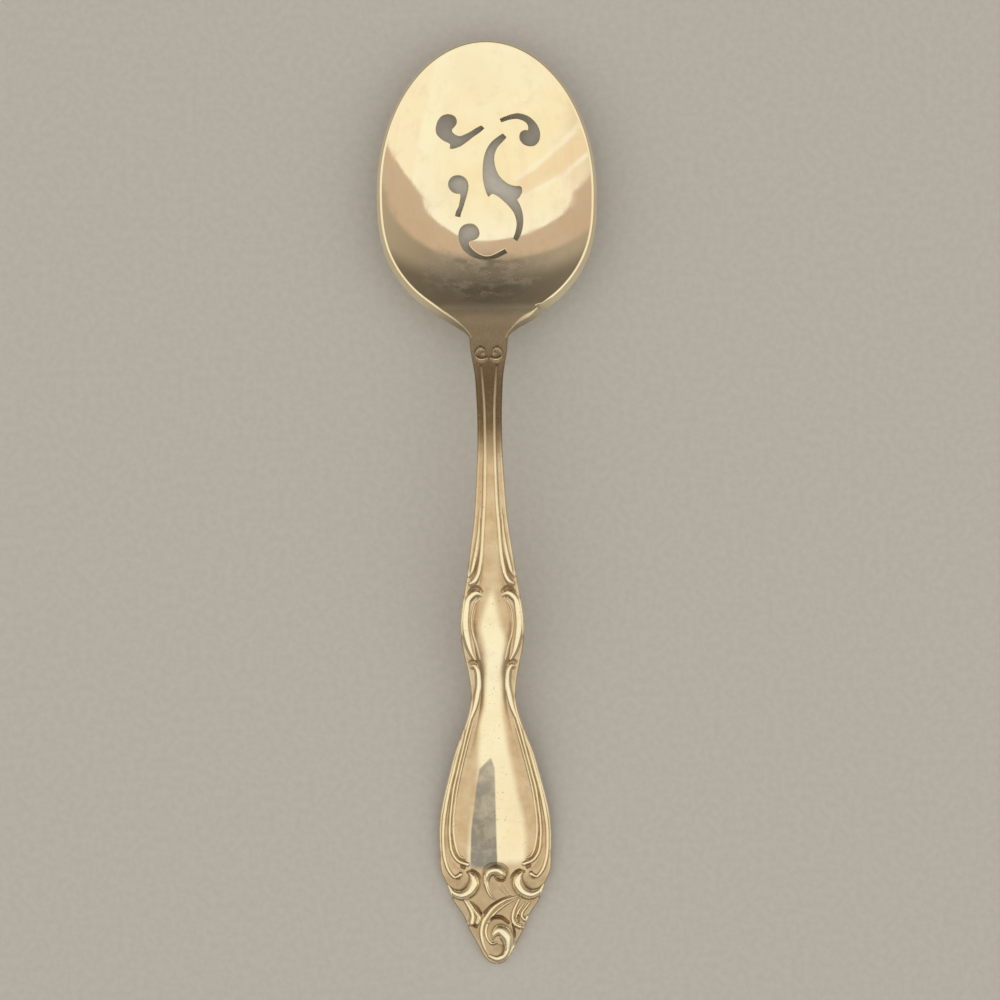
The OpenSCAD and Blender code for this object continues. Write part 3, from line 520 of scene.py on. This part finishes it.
def wall_way(x, s):
    """The way through the wall: upright at the neck, square to the underside elsewhere."""
    e = 0.02
    b = smoothstep((s - NECK) / 6)
    slope_x = (under(x + e, s) - under(x - e, s)) / (2 * e)
    slope_s = (under(x, s + e) - under(x, s - e)) / (2 * e)
    n = np.stack([-b * slope_x, -b * slope_s, np.ones(np.shape(x))], -1)
    return n / np.linalg.norm(n, axis=-1)[..., None]


def inside(x, s):
    return np.stack([x, s, under(x, s)], -1) + wall_of(s)[..., None] * wall_way(x, s)


def outside(x, s):
    return np.stack([x, s, np.maximum(HEEL, under(x, s))], -1)


def facing(surface, x, s):
    """Unit normals of a surface given in plan."""
    e = 0.03
    n = np.cross(surface(x + e, s) - surface(x - e, s), surface(x, s + e) - surface(x, s - e))
    return n / np.linalg.norm(n, axis=-1)[..., None]


def within(px, py, loop):
    """Whether points lie in a closed outline."""
    ax, ay = loop[:, 0], loop[:, 1]
    bx, by = np.roll(ax, -1), np.roll(ay, -1)
    odd = np.zeros(len(px), bool)
    for x0, y0, x1, y1 in zip(ax, ay, bx, by):
        if y0 != y1:
            cross = (y0 > py) != (y1 > py)
            odd ^= cross & (px < (x1 - x0) * (py - y0) / (y1 - y0) + x0)
    return odd


# The five piercings in plan, in mm from the middle of the bowl, clockwise; a point given twice is a corner.
PIERCED = [
    [(-6.21, 12.65), (-5.61, 12.58), (-5.09, 12.28), (-4.82, 11.74), (-4.92, 11.19), (-5.27, 10.76),
     (-5.58, 10.45), (-5.58, 10.45), (-5.66, 10.06), (-5.38, 9.65), (-4.84, 9.34), (-4.24, 9.26),
     (-3.51, 9.53), (-2.67, 9.94), (-1.82, 10.45), (-0.8, 10.98), (-0.8, 10.98), (-0.32, 10.58),
     (-0.32, 10.58), (-1.1, 9.94), (-2.07, 9.31), (-3, 8.61), (-3.9, 7.97), (-4.63, 7.58), (-5.47, 7.32),
     (-6, 7.3), (-6, 7.3), (-5.91, 7.91), (-6.22, 8.23), (-6.22, 8.23), (-6.88, 8.48), (-7.47, 8.87),
     (-8.01, 9.38), (-8.23, 9.99), (-8.17, 10.69), (-7.89, 11.53), (-7.41, 12.17), (-6.8, 12.54)],
    [(2.3, 11.98), (2.3, 11.98), (3.26, 12.33), (4.23, 12.59), (5.19, 12.7), (6.14, 12.5), (7.09, 12.05),
     (7.85, 11.38), (8.46, 10.53), (8.79, 9.58), (8.8, 8.65), (8.53, 7.98), (8.05, 7.57), (7.41, 7.45),
     (6.57, 7.63), (5.9, 8.09), (5.53, 8.72), (5.53, 9.34), (5.83, 9.79), (6.36, 9.99), (6.88, 9.93),
     (6.88, 9.93), (6.98, 10.41), (6.8, 11), (6.37, 11.44), (5.78, 11.75), (5.06, 11.95), (4.22, 11.92),
     (3.38, 11.76), (2.53, 11.51), (2.53, 11.51)],
    [(2.75, 9.63), (2.75, 9.63), (3.32, 9.06), (3.32, 9.06), (2.73, 8.47), (2, 7.75), (1.51, 6.94),
     (1.25, 6), (1.29, 4.93), (1.52, 3.98), (1.94, 3.01), (2.65, 2.15), (3.61, 1.39), (4.57, 1.06),
     (5.41, 1.02), (5.41, 1.02), (5.77, 0.69), (5.76, -0.04), (5.76, -0.04), (5.36, -0.74), (4.92, -1.2),
     (4.92, -1.2), (5.3, -1.95), (5.67, -2.94), (5.87, -4.05), (5.88, -5.15), (5.67, -6.36),
     (5.32, -7.33), (4.88, -8.1), (4.88, -8.1), (4.26, -7.63), (4.26, -7.63), (4.66, -6.56),
     (4.87, -5.34), (4.78, -4.36), (4.39, -3.25), (3.68, -2.24), (2.85, -1.36), (2.01, -0.61),
     (1.29, -0.16), (0.81, -0.05), (0.25, -0.52), (0.25, -0.52), (-0.03, 0.04), (-0.36, 1.13),
     (-0.58, 2.34), (-0.64, 3.53), (-0.55, 4.96), (-0.29, 6.26), (0.19, 7.43), (0.92, 8.36), (1.78, 9.04)],
    [(-4.7, 2.93), (-3.98, 2.75), (-3.38, 2.28), (-3.1, 1.61), (-3.11, 0.77), (-3.37, -0.32),
     (-3.67, -1.3), (-3.97, -2.27), (-4.29, -3.13), (-4.5, -3.94), (-4.5, -3.94), (-5.26, -3.8),
     (-5.26, -3.8), (-5.08, -3.02), (-4.69, -2.28), (-4.49, -1.43), (-4.33, -0.58), (-4.42, 0),
     (-4.42, 0), (-4.98, -0.01), (-5.69, 0.24), (-6.16, 0.78), (-6.35, 1.42), (-6.15, 2.15), (-5.59, 2.72)],
    [(-2.75, -5.09), (-2.08, -5.29), (-1.56, -5.87), (-1.37, -6.66), (-1.62, -7.35), (-2.3, -7.77),
     (-2.9, -7.9), (-2.9, -7.9), (-3.12, -8.15), (-2.98, -8.77), (-2.56, -9.39), (-1.84, -10.01),
     (-0.88, -10.52), (0.08, -10.65), (1.04, -10.37), (1.89, -9.94), (2.84, -9.46), (2.84, -9.46),
     (3.21, -10.08), (3.21, -10.08), (2.49, -10.45), (1.52, -10.88), (0.55, -11.11), (-0.41, -11.17),
     (-1.61, -10.99), (-2.69, -10.56), (-3.64, -9.82), (-4.35, -8.83), (-4.68, -7.67), (-4.69, -6.68),
     (-4.4, -5.82), (-3.72, -5.25)]]
PIERCED_AT = 127.9
HOLE_ROUND = 0.12


def hole_loop(points, step=0.16):
    """A piercing's edge as a closed smooth loop in the bowl's own plan, with the metal on its left."""
    p = np.array(points, float) + [0, PIERCED_AT]
    n = len(p)
    out = []
    for i in range(n):
        a, b, c, d = p[i - 1], p[i], p[(i + 1) % n], p[(i + 2) % n]
        k = max(1, round(np.hypot(*(c - b)) / step))
        out.append(between(a, b, c, d, np.arange(k)[:, None] / k))
    q = np.concatenate(out)
    q = q[np.hypot(*(q - np.roll(q, 1, 0)).T) > 1e-6]
    if np.sum(q[:, 0] * np.roll(q[:, 1], -1) - np.roll(q[:, 0], -1) * q[:, 1]) > 0:
        q = q[::-1]
    top = q.copy()
    for _ in range(12):
        q = top - wall_of(q[:, 1])[:, None] * wall_way(q[:, 0], q[:, 1])[:, :2]
    return q


def outward(loop, closed):
    """Unit vectors to the right of the way round, away from the metal."""
    if closed:
        t = np.roll(loop, -1, 0) - np.roll(loop, 1, 0)
    else:
        t = np.gradient(loop, axis=0)
    t = t / np.linalg.norm(t, axis=1)[:, None]
    return np.stack([t[:, 1], -t[:, 0]], -1)


def bowl():
    """The bowl: one plan net with the piercings left out, raised to both faces and closed by rounded edges."""
    fine = np.concatenate([np.arange(NECK, 104.4, 0.2), np.arange(104.4, 110, 0.1),
                           np.arange(110, WIDE, 0.25)])
    near = fine - NICK_AT
    lip = LIP_OUT * np.exp(-((near + LIP_BEFORE) / LIP_LENGTH) ** 2)
    right_half = shoulder(fine) + lip - NICK_DEEP * np.exp(-(near / NICK_HALF) ** 4)
    right = np.stack([right_half, fine], -1)
    left = np.stack([-shoulder(fine), fine], -1)
    turn = np.linspace(0, math.pi, 260)
    nose = np.stack([HALF_RIM * np.cos(turn), WIDE + NOSE_LENGTH * np.sin(turn)], -1)
    rim = np.concatenate([right, nose, left[::-1]])
    o = outward(rim, False)
    o[0], o[-1] = (1, 0), (-1, 0)
    r = np.interp(rim[:, 1], [NECK, RIM_FROM], [EDGE_ROUND, RIM_ROUND])
    by_nick = (rim[:, 0] > 0) & (np.abs(rim[:, 1] - NICK_AT) < NICK_BESIDE[0])
    r[by_nick] = np.interp(np.abs(rim[by_nick, 1] - NICK_AT), *zip(NICK_SHARP, NICK_BESIDE))
    upright = wall_way(rim[:, 0], rim[:, 1])[:, 2]
    r[rim[:, 0] > 0] += ROUNDER * np.exp(-((rim[rim[:, 0] > 0, 1] - ROUNDER_AT) / LIP_LENGTH) ** 2)
    rim_in = rim - (r * (upright - np.sqrt(1 - upright ** 2)))[:, None] * o
    neck = np.stack([np.linspace(-1, 1, ACROSS)[1:-1] * rim_in[0, 0], np.full(ACROSS - 2, NECK)], -1)
    holes = [hole_loop(points) for points in PIERCED]
    hole_out = [outward(q, True) for q in holes]
    holes = [q - HOLE_ROUND * v for q, v in zip(holes, hole_out)]
    chains = [np.concatenate([rim_in, neck])] + holes
    gap = 0.27
    gx, gs = np.meshgrid(np.arange(-18, 18, gap), np.arange(NECK, NOSE, gap * 0.866), indexing="ij")
    gx = gx + (np.arange(gx.shape[1]) % 2) * gap / 2
    grid = np.stack([gx.ravel(), gs.ravel()], -1)
    grid = grid[within(grid[:, 0], grid[:, 1], chains[0])]
    for q in holes:
        grid = grid[~within(grid[:, 0], grid[:, 1], q)]
    every = np.concatenate(chains)
    for part in np.array_split(np.arange(len(grid)), 40):
        d = ((grid[part, None] - every[None]) ** 2).sum(-1).min(1)
        grid[part[d < 0.02]] = np.nan
    grid = grid[~np.isnan(grid[:, 0])]
    edges, start = [], 0
    for q in chains:
        n = len(q)
        edges += [(start + i, start + (i + 1) % n) for i in range(n)]
        start += n
    given = np.concatenate([every, grid])
    verts, _, tris, origin, _, _ = delaunay_2d_cdt([Vector(v) for v in given.tolist()], edges, [], 1, 1e-6)
    new = np.full(len(given), -1)
    for i, olds in enumerate(origin):
        for old in olds:
            new[old] = i
    plan = np.array([(v.x, v.y) for v in verts])
    t = np.array(tris)
    mid = plan[t].mean(1)
    keep = within(mid[:, 0], mid[:, 1], chains[0])
    for q in holes:
        keep &= ~within(mid[:, 0], mid[:, 1], q)
    t = t[keep]
    a, b, c = plan[t[:, 0]], plan[t[:, 1]], plan[t[:, 2]]
    turned = (b - a)[:, 0] * (c - a)[:, 1] - (b - a)[:, 1] * (c - a)[:, 0] < 0
    t[turned] = t[turned][:, ::-1]
    x, s = plan[:, 0], plan[:, 1]
    count = len(plan)
    points = [inside(x, s), outside(x, s)]
    seat = np.stack([-2 * DISH * x, np.full(count, NECK_FALL), np.ones(count)], -1)
    own = smoothstep((s - NECK) / NECK_BLEND)[:, None]
    upper = own * facing(inside, x, s) + (1 - own) * seat / np.linalg.norm(seat, axis=1)[:, None]
    normals = [upper, -facing(outside, x, s)]
    faces = t.tolist() + (t[:, ::-1] + count).tolist()
    total = 2 * count

    def skirt(q, away, radius, ids, closed):
        """A rounded edge from the upper face to the lower one, along a loop of the net."""
        nonlocal total
        n3 = wall_way(q[:, 0], q[:, 1])
        flat = np.stack([away[:, 0], away[:, 1], np.zeros(len(q))], -1)
        o3 = flat - (flat * n3).sum(-1)[:, None] * n3
        o3 /= np.linalg.norm(o3, axis=1)[:, None]
        top, low = inside(q[:, 0], q[:, 1]), outside(q[:, 0], q[:, 1])
        rad = np.broadcast_to(radius, len(q))[:, None]
        rings = [ids]
        steps = [30, 60, 90] if closed else ROUND_STEPS
        for degrees in steps:
            f = math.radians(degrees)
            points.append(top - rad * n3 + rad * (math.cos(f) * n3 + math.sin(f) * o3))
            normals.append(math.cos(f) * n3 + math.sin(f) * o3)
            rings.append(total + np.arange(len(q)))
            total += len(q)
        for degrees in steps[::-1]:
            f = math.radians(degrees)
            points.append(low + rad * n3 + rad * (-math.cos(f) * n3 + math.sin(f) * o3))
            normals.append(-math.cos(f) * n3 + math.sin(f) * o3)
            rings.append(total + np.arange(len(q)))
            total += len(q)
        rings.append(ids + count)
        rings = np.array(rings)
        i = np.arange(len(q) if closed else len(q) - 1)
        k = (i + 1) % len(q)
        for upper, lower in zip(rings[:-1], rings[1:]):
            faces.extend(np.stack([upper[i], lower[i], lower[k], upper[k]], -1).tolist())
        return rings

    n = len(rim_in)
    rings = skirt(rim_in, o, r, new[:n], False)
    start = len(chains[0])
    for q, v in zip(holes, hole_out):
        skirt(q, v, HOLE_ROUND, new[start:start + len(q)], True)
        start += len(q)
    across = new[n:n + len(neck)]
    cap = list(across) + list(rings[:, 0]) + list(across[::-1] + count) + list(rings[::-1, -1])
    faces.append([int(v) for v in cap[::-1]])
    points, normals = np.concatenate(points), np.concatenate(normals)
    along = points[:, 1]
    looks = {"patina_and_shade": neck_darkening(along), "haze_and_painted_reflection": smoothstep((112 - along) / 7)}
    return add_mesh("bowl_dish", points, faces, normals, looks)


# Finishes: silver plate with its wear, and the tints that lie over it: a painted tan reflection, a painted
# dark reflection band, and residue that also lays painted shade.
BRIGHT, WARM, CLOUDED = (0.97, 0.89, 0.66, 1), (0.94, 0.83, 0.6, 1), (0.78, 0.67, 0.5, 1)
SMUDGE_TINT, STREAK_TINT = (0.74, 0.71, 0.62, 1), (0.95, 0.8, 0.62, 1)
REFLECTED_TAN_TINT, DARK_REFLECTION_TINT, SPECK_TINT = (0.55, 0.385, 0.235, 1), (0.3, 0.278, 0.25, 1), (0.35, 0.28, 0.18, 1)
# Residue in the hollows, which also lays painted shade at the feet of the raised lines.
PATINA_AND_SHADE_TINT = (0.19, 0.137, 0.077, 1)
# Middle of the smudge in the bowl in the part's own millimetres, and one over its reach across and along.
SMUDGE_X, SMUDGE_Y, SMUDGE_ACROSS, SMUDGE_ALONG = -0.3, 38.2, 0.075, 0.18
DENT_DEPTH = 0.00003


class Wiring:
    """Shorthand for the nodes of one material or world."""

    def __init__(self, tree):
        self.tree = tree

    def feed(self, socket, value):
        if isinstance(value, bpy.types.NodeSocket):
            self.tree.links.new(value, socket)
        else:
            socket.default_value = value

    def add(self, kind, **sockets):
        node = self.tree.nodes.new(kind)
        for key, value in sockets.items():
            self.put(node, key, value)
        return node

    def put(self, node, key, value):
        self.feed(node.inputs[key], value)

    def math(self, how, *values):
        node = self.tree.nodes.new("ShaderNodeMath")
        node.operation = how
        for socket, value in zip(node.inputs, values):
            self.feed(socket, value)
        return node.outputs[0]

    def mix(self, share, a, b):
        node = self.tree.nodes.new("ShaderNodeMix")
        node.data_type = "RGBA"
        for place, value in ((0, share), (6, a), (7, b)):
            self.feed(node.inputs[place], value)
        return node.outputs[2]

    def ramp(self, value, low, high):
        """Rise smoothly from 0 at low to 1 at high."""
        node = self.tree.nodes.new("ShaderNodeMapRange")
        node.interpolation_type = "SMOOTHSTEP"
        self.tree.links.new(value, node.inputs[0])
        node.inputs[1].default_value, node.inputs[2].default_value = low, high
        return node.outputs[0]

    def noise(self, where, scale, detail=3.0, rough=0.55):
        node = self.tree.nodes.new("ShaderNodeTexNoise")
        self.tree.links.new(where, node.inputs["Vector"])
        node.inputs["Scale"].default_value = scale
        node.inputs["Detail"].default_value = detail
        node.inputs["Roughness"].default_value = rough
        return node.outputs["Fac"]

    def stretched(self, where, turn, scale):
        node = self.tree.nodes.new("ShaderNodeMapping")
        self.tree.links.new(where, node.inputs["Vector"])
        node.inputs["Rotation"].default_value = (0, 0, math.radians(turn))
        node.inputs["Scale"].default_value = scale
        return node.outputs[0]


def silver(name, kind):
    """Silver plate. Its wear, its painted reflections and its painted shade come from the looks painted on the
    pieces and from noise.
    """
    material = bpy.data.materials.new(name)
    material.use_nodes = True
    tree = material.node_tree
    tree.nodes.clear()
    w = Wiring(tree)
    out = w.add("ShaderNodeOutputMaterial")
    shader = w.add("ShaderNodeBsdfPrincipled", Metallic=1.0)
    tree.links.new(shader.outputs[0], out.inputs[0])
    where = w.stretched(w.add("ShaderNodeTexCoord").outputs["Object"], 0, (1 / MM, 1 / MM, 1 / MM))
    broad = w.noise(where, 0.07, 3)
    cloud = w.noise(where, 0.35, 5, 0.6)
    grain = w.noise(where, 3.0, 4, 0.6)
    colour = w.mix(w.ramp(broad, 0.42, 0.72), BRIGHT, WARM)
    colour = w.mix(w.math("MULTIPLY", w.ramp(cloud, 0.5, 0.75), 0.3), colour, CLOUDED)
    polish = 0.04 if kind == "bowl" else 0.1
    rough = w.math("ADD", polish, w.math("MULTIPLY", w.ramp(cloud, 0.35, 0.8), 0.08))

    def look(key):
        node = w.add("ShaderNodeAttribute")
        node.attribute_name = key
        return node.outputs["Fac"]

    def spread(amount, tint, dull):
        """Lay a tint over the metal, and take some of its polish away."""
        nonlocal colour, rough
        colour = w.mix(amount, colour, tint)
        rough = w.math("ADD", rough, w.math("MULTIPLY", amount, dull))

    uneven = w.math("ADD", 0.85, w.math("MULTIPLY", w.ramp(grain, 0.2, 0.65), 0.15))
    if kind == "bowl":
        split = w.add("ShaderNodeSeparateXYZ", Vector=where)
        dx = w.math("MULTIPLY", w.math("SUBTRACT", split.outputs[0], SMUDGE_X), SMUDGE_ACROSS)
        dy = w.math("MULTIPLY", w.math("SUBTRACT", split.outputs[1], SMUDGE_Y), SMUDGE_ALONG)
        far = w.math("SQRT", w.math("ADD", w.math("MULTIPLY", dx, dx), w.math("MULTIPLY", dy, dy)))
        smear = w.noise(w.stretched(where, 25, (0.55, 1.0, 1.0)), 0.8, 6, 0.65)
        smudge = w.math("MULTIPLY", w.ramp(far, 1.1, 0.45), w.ramp(smear, 0.34, 0.62))
        spread(w.math("MULTIPLY", smudge, 0.6), SMUDGE_TINT, 0.42)
        streak = w.noise(w.stretched(where, 38, (0.5, 0.06, 1.0)), 1.0, 3, 0.5)
        spread(w.math("MULTIPLY", w.ramp(streak, 0.52, 0.68), 0.45), STREAK_TINT, 0.06)
        # On the bowl this look only roughens the metal towards the neck; no reflection is painted there.
        rough = w.math("ADD", rough, w.math("MULTIPLY", look("haze_and_painted_reflection"), 0.25))
    else:
        # Painted tan reflection over the handle's ground, mottled, and a little duller.
        patchy = w.math("ADD", 0.75, w.math("MULTIPLY", w.ramp(cloud, 0.3, 0.7), 0.25))
        spread(w.math("MULTIPLY", look("tone"), patchy), REFLECTED_TAN_TINT, 0.12)
        # Painted dark reflection: the grey band on the panel, mottled, and a little hazier.
        mottle = w.math("ADD", 0.62, w.math("MULTIPLY", w.ramp(cloud, 0.35, 0.65), 0.3))
        spread(w.math("MULTIPLY", look("haze_and_painted_reflection"), mottle), DARK_REFLECTION_TINT, 0.1)
        speck = w.ramp(w.noise(where, 2.6, 2, 0.5), 0.67, 0.73)
        spread(w.math("MULTIPLY", speck, 0.5), SPECK_TINT, 0.2)
    dull = 0.1 if kind == "bowl" else 0.3
    # Residue in the hollows with painted shade at the feet of the raised lines, and the darker stem and neck.
    spread(w.math("MULTIPLY", look("patina_and_shade"), uneven), PATINA_AND_SHADE_TINT, dull)
    w.put(shader, "Base Color", colour)
    w.put(shader, "Roughness", rough)
    scratch = w.ramp(w.noise(w.stretched(where, 28, (5.0, 0.12, 1.0)), 1.0, 2, 0.5), 0.6, 0.72)
    cross = w.ramp(w.noise(w.stretched(where, -50, (4.0, 0.1, 1.0)), 1.0, 2, 0.5), 0.6, 0.72)
    dents = w.noise(where, 0.16, 2, 0.4)
    height = w.math("ADD", dents, w.math("MULTIPLY", w.math("ADD", scratch, cross), -0.02))
    bump = w.add("ShaderNodeBump", Strength=1.0, Distance=DENT_DEPTH, Height=height)
    w.put(shader, "Normal", bump.outputs[0])
    return material


FINISHES = {"bowl": silver("bowl_silver", "bowl"), "handle": silver("handle_silver", "handle"),
            "relief": silver("relief_silver", "relief")}


def keep(piece, node, finish, slot_name):
    piece.data.materials.append(FINISHES[finish])
    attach(piece, "root")
    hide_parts(node)


keep(bowl(), "bowl", "bowl", "bowl_metal")
keep(handle(), "handle", "handle", "handle_metal")
for base, lines, paired in PATCHES:
    if paired:
        keep(patch(base + "_left_skin", lines, 1), base + "_left", "relief", "relief_metal")
        keep(patch(base + "_right_skin", lines, -1), base + "_right", "relief", "relief_metal")
    else:
        keep(patch(base + "_skin", lines, 1), base, "relief", "relief_metal")


# Studio: a plain pale floor, and a world that is a pale ceiling over dim warm walls.
FLOOR_HALF, FLOOR_ROUGH = 6.0, 0.7
FLOOR_DARK, FLOOR_PALE = (0.57, 0.575, 0.59, 1), (0.61, 0.615, 0.63, 1)
CEILING, CEILING_NEAR, CEILING_PATCH = (0.985, 0.9, 0.71, 1), (1.0, 0.96, 0.84, 1), (1.0, 0.97, 0.86, 1)
CEILING_RIGHT, CEILING_LEFT, CEILING_FAR = (1.0, 0.965, 0.84, 1), (0.84, 0.69, 0.55, 1), (1.0, 0.985, 0.92, 1)
PANEL_TINT, STRIPE_TINT, BEAM_TINT = (0.9, 0.74, 0.56, 1), (0.97, 0.84, 0.66, 1), (1.0, 0.98, 0.92, 1)
LOW_TINT, FRONT_TINT, WALL_TINT = (0.26, 0.22, 0.17, 1), (0.2, 0.17, 0.13, 1), (0.6, 0.465, 0.375, 1)
DIM_MIDDLE, DIM_ASIDE, BLACK = (0.19, 0.165, 0.14, 1), (0.45, 0.385, 0.32, 1), (0, 0, 0, 1)


def floor():
    mesh = bpy.data.meshes.new("floor")
    h = FLOOR_HALF
    mesh.from_pydata([(-h, -h, 0), (h, -h, 0), (h, h, 0), (-h, h, 0)], [], [(0, 1, 2, 3)])
    sheet = bpy.data.objects.new("floor", mesh)
    bpy.context.collection.objects.link(sheet)
    material = bpy.data.materials.new("pale_floor")
    material.use_nodes = True
    wiring = Wiring(material.node_tree)
    shader = material.node_tree.nodes["Principled BSDF"]
    where = wiring.add("ShaderNodeTexCoord").outputs["Object"]
    tone = wiring.noise(where, 900, 4)
    wiring.put(shader, "Base Color", wiring.mix(wiring.ramp(tone, 0.3, 0.7), FLOOR_DARK, FLOOR_PALE))
    wiring.put(shader, "Roughness", FLOOR_ROUGH)
    mesh.materials.append(material)


def surroundings():
    """Colour by direction: pale ceiling, warm walls that begin lower down, a dim side beyond the bowl."""
    world = bpy.data.worlds.new("studio")
    bpy.context.scene.world = world
    world.use_nodes = True
    tree = world.node_tree
    w = Wiring(tree)
    way = w.add("ShaderNodeTexCoord").outputs["Generated"]

    def past(x, y, z):
        """How far a direction lies past the plane with this normal."""
        node = tree.nodes.new("ShaderNodeVectorMath")
        node.operation = "DOT_PRODUCT"
        tree.links.new(way, node.inputs[0])
        node.inputs[1].default_value = (x, y, z)
        return node.outputs["Value"]

    def line(side, half):
        return w.ramp(w.math("ABSOLUTE", side), half, half / 2)

    def lay(share, tint, amount=None):
        nonlocal colour
        colour = w.mix(share if amount is None else w.math("MULTIPLY", share, amount), colour, tint)

    wall = w.ramp(w.math("MAXIMUM", past(-0.05, 1, -0.6), past(0.297, 1, -0.69)), -0.012, 0.012)
    edge = w.math("MINIMUM", past(-0.02, 1, -1.03), past(0.1, 1, -1.03))
    far = w.ramp(w.math("MAXIMUM", edge, past(0.23, 1, -1.27)), -0.05, 0.05)
    deep = w.ramp(past(0, 1, -1.6), 0.0, 0.4)
    aside = w.ramp(w.math("MAXIMUM", past(-1, 0, 0), past(0.85, 0, 0)), 0.0, 1.0)
    front = w.ramp(past(0, -1, -1), -0.05, 0.25)
    low = w.ramp(past(0, 0, 1), 0.4, 0.08)
    shade = w.math("ADD", 0.3, w.math("MULTIPLY", w.ramp(past(1, 0, 0), 0.5, -0.3), 0.35))
    first, second = past(-0.215, 1, -0.212), past(-0.065, 1, -0.294)
    to_left = w.ramp(past(-1, 0, 0), 0.3, 0.5)
    to_right = w.ramp(past(0.768, -0.425, -1), -0.02, 0.02)
    beams = w.math("MULTIPLY", w.math("MAXIMUM", line(first, 0.024), line(second, 0.02)), to_left)
    between_beams = w.math("MULTIPLY", w.ramp(first, -0.01, 0.01), w.ramp(second, 0.01, -0.01))
    panel = w.math("MULTIPLY", between_beams, to_left)
    patches = w.ramp(w.noise(w.stretched(way, 35, (1.0, 2.6, 1.0)), 2.6, 4, 0.55), 0.46, 0.62)
    dim = w.mix(aside, DIM_MIDDLE, DIM_ASIDE)
    dim = w.mix(w.math("MULTIPLY", deep, 0.5), dim, BLACK)
    colour = w.mix(w.ramp(past(0, -1, 0), 0.15, 0.6), CEILING, CEILING_NEAR)
    lay(patches, CEILING_PATCH, 0.45)
    lay(w.ramp(past(1, 0, 0), 0.3, 0.75), CEILING_RIGHT)
    lay(w.ramp(past(-1, 0, 0), 0.8, 0.9), CEILING_LEFT, 0.8)
    lay(panel, PANEL_TINT, 0.8)
    lay(to_right, STRIPE_TINT, 0.5)
    lay(beams, BEAM_TINT, 0.8)
    lay(w.ramp(past(0, 1, -0.25), -0.1, 0.3), CEILING_FAR)
    lay(low, LOW_TINT, shade)
    lay(front, FRONT_TINT, 0.8)
    lay(wall, WALL_TINT)
    lay(far, dim)
    back = tree.nodes["Background"]
    w.put(back, "Color", colour)
    w.put(back, "Strength", 1.0)


floor()
surroundings()

# The photograph's view: straight down from 330 mm, turned a little.
CAMERA_AT, CAMERA_ROLL = (0.0015, 0.0009, 0.33), -0.0131
LENS_MM, SENSOR_MM = 71.3, 36.0
lens = bpy.data.cameras.new("photo_view")
lens.lens, lens.sensor_width = LENS_MM, SENSOR_MM
camera = bpy.data.objects.new("photo_view", lens)
camera.location = CAMERA_AT
camera.rotation_euler = (0, 0, CAMERA_ROLL)
bpy.context.collection.objects.link(camera)
bpy.context.scene.camera = camera
bpy.context.scene.view_settings.view_transform = "Standard"
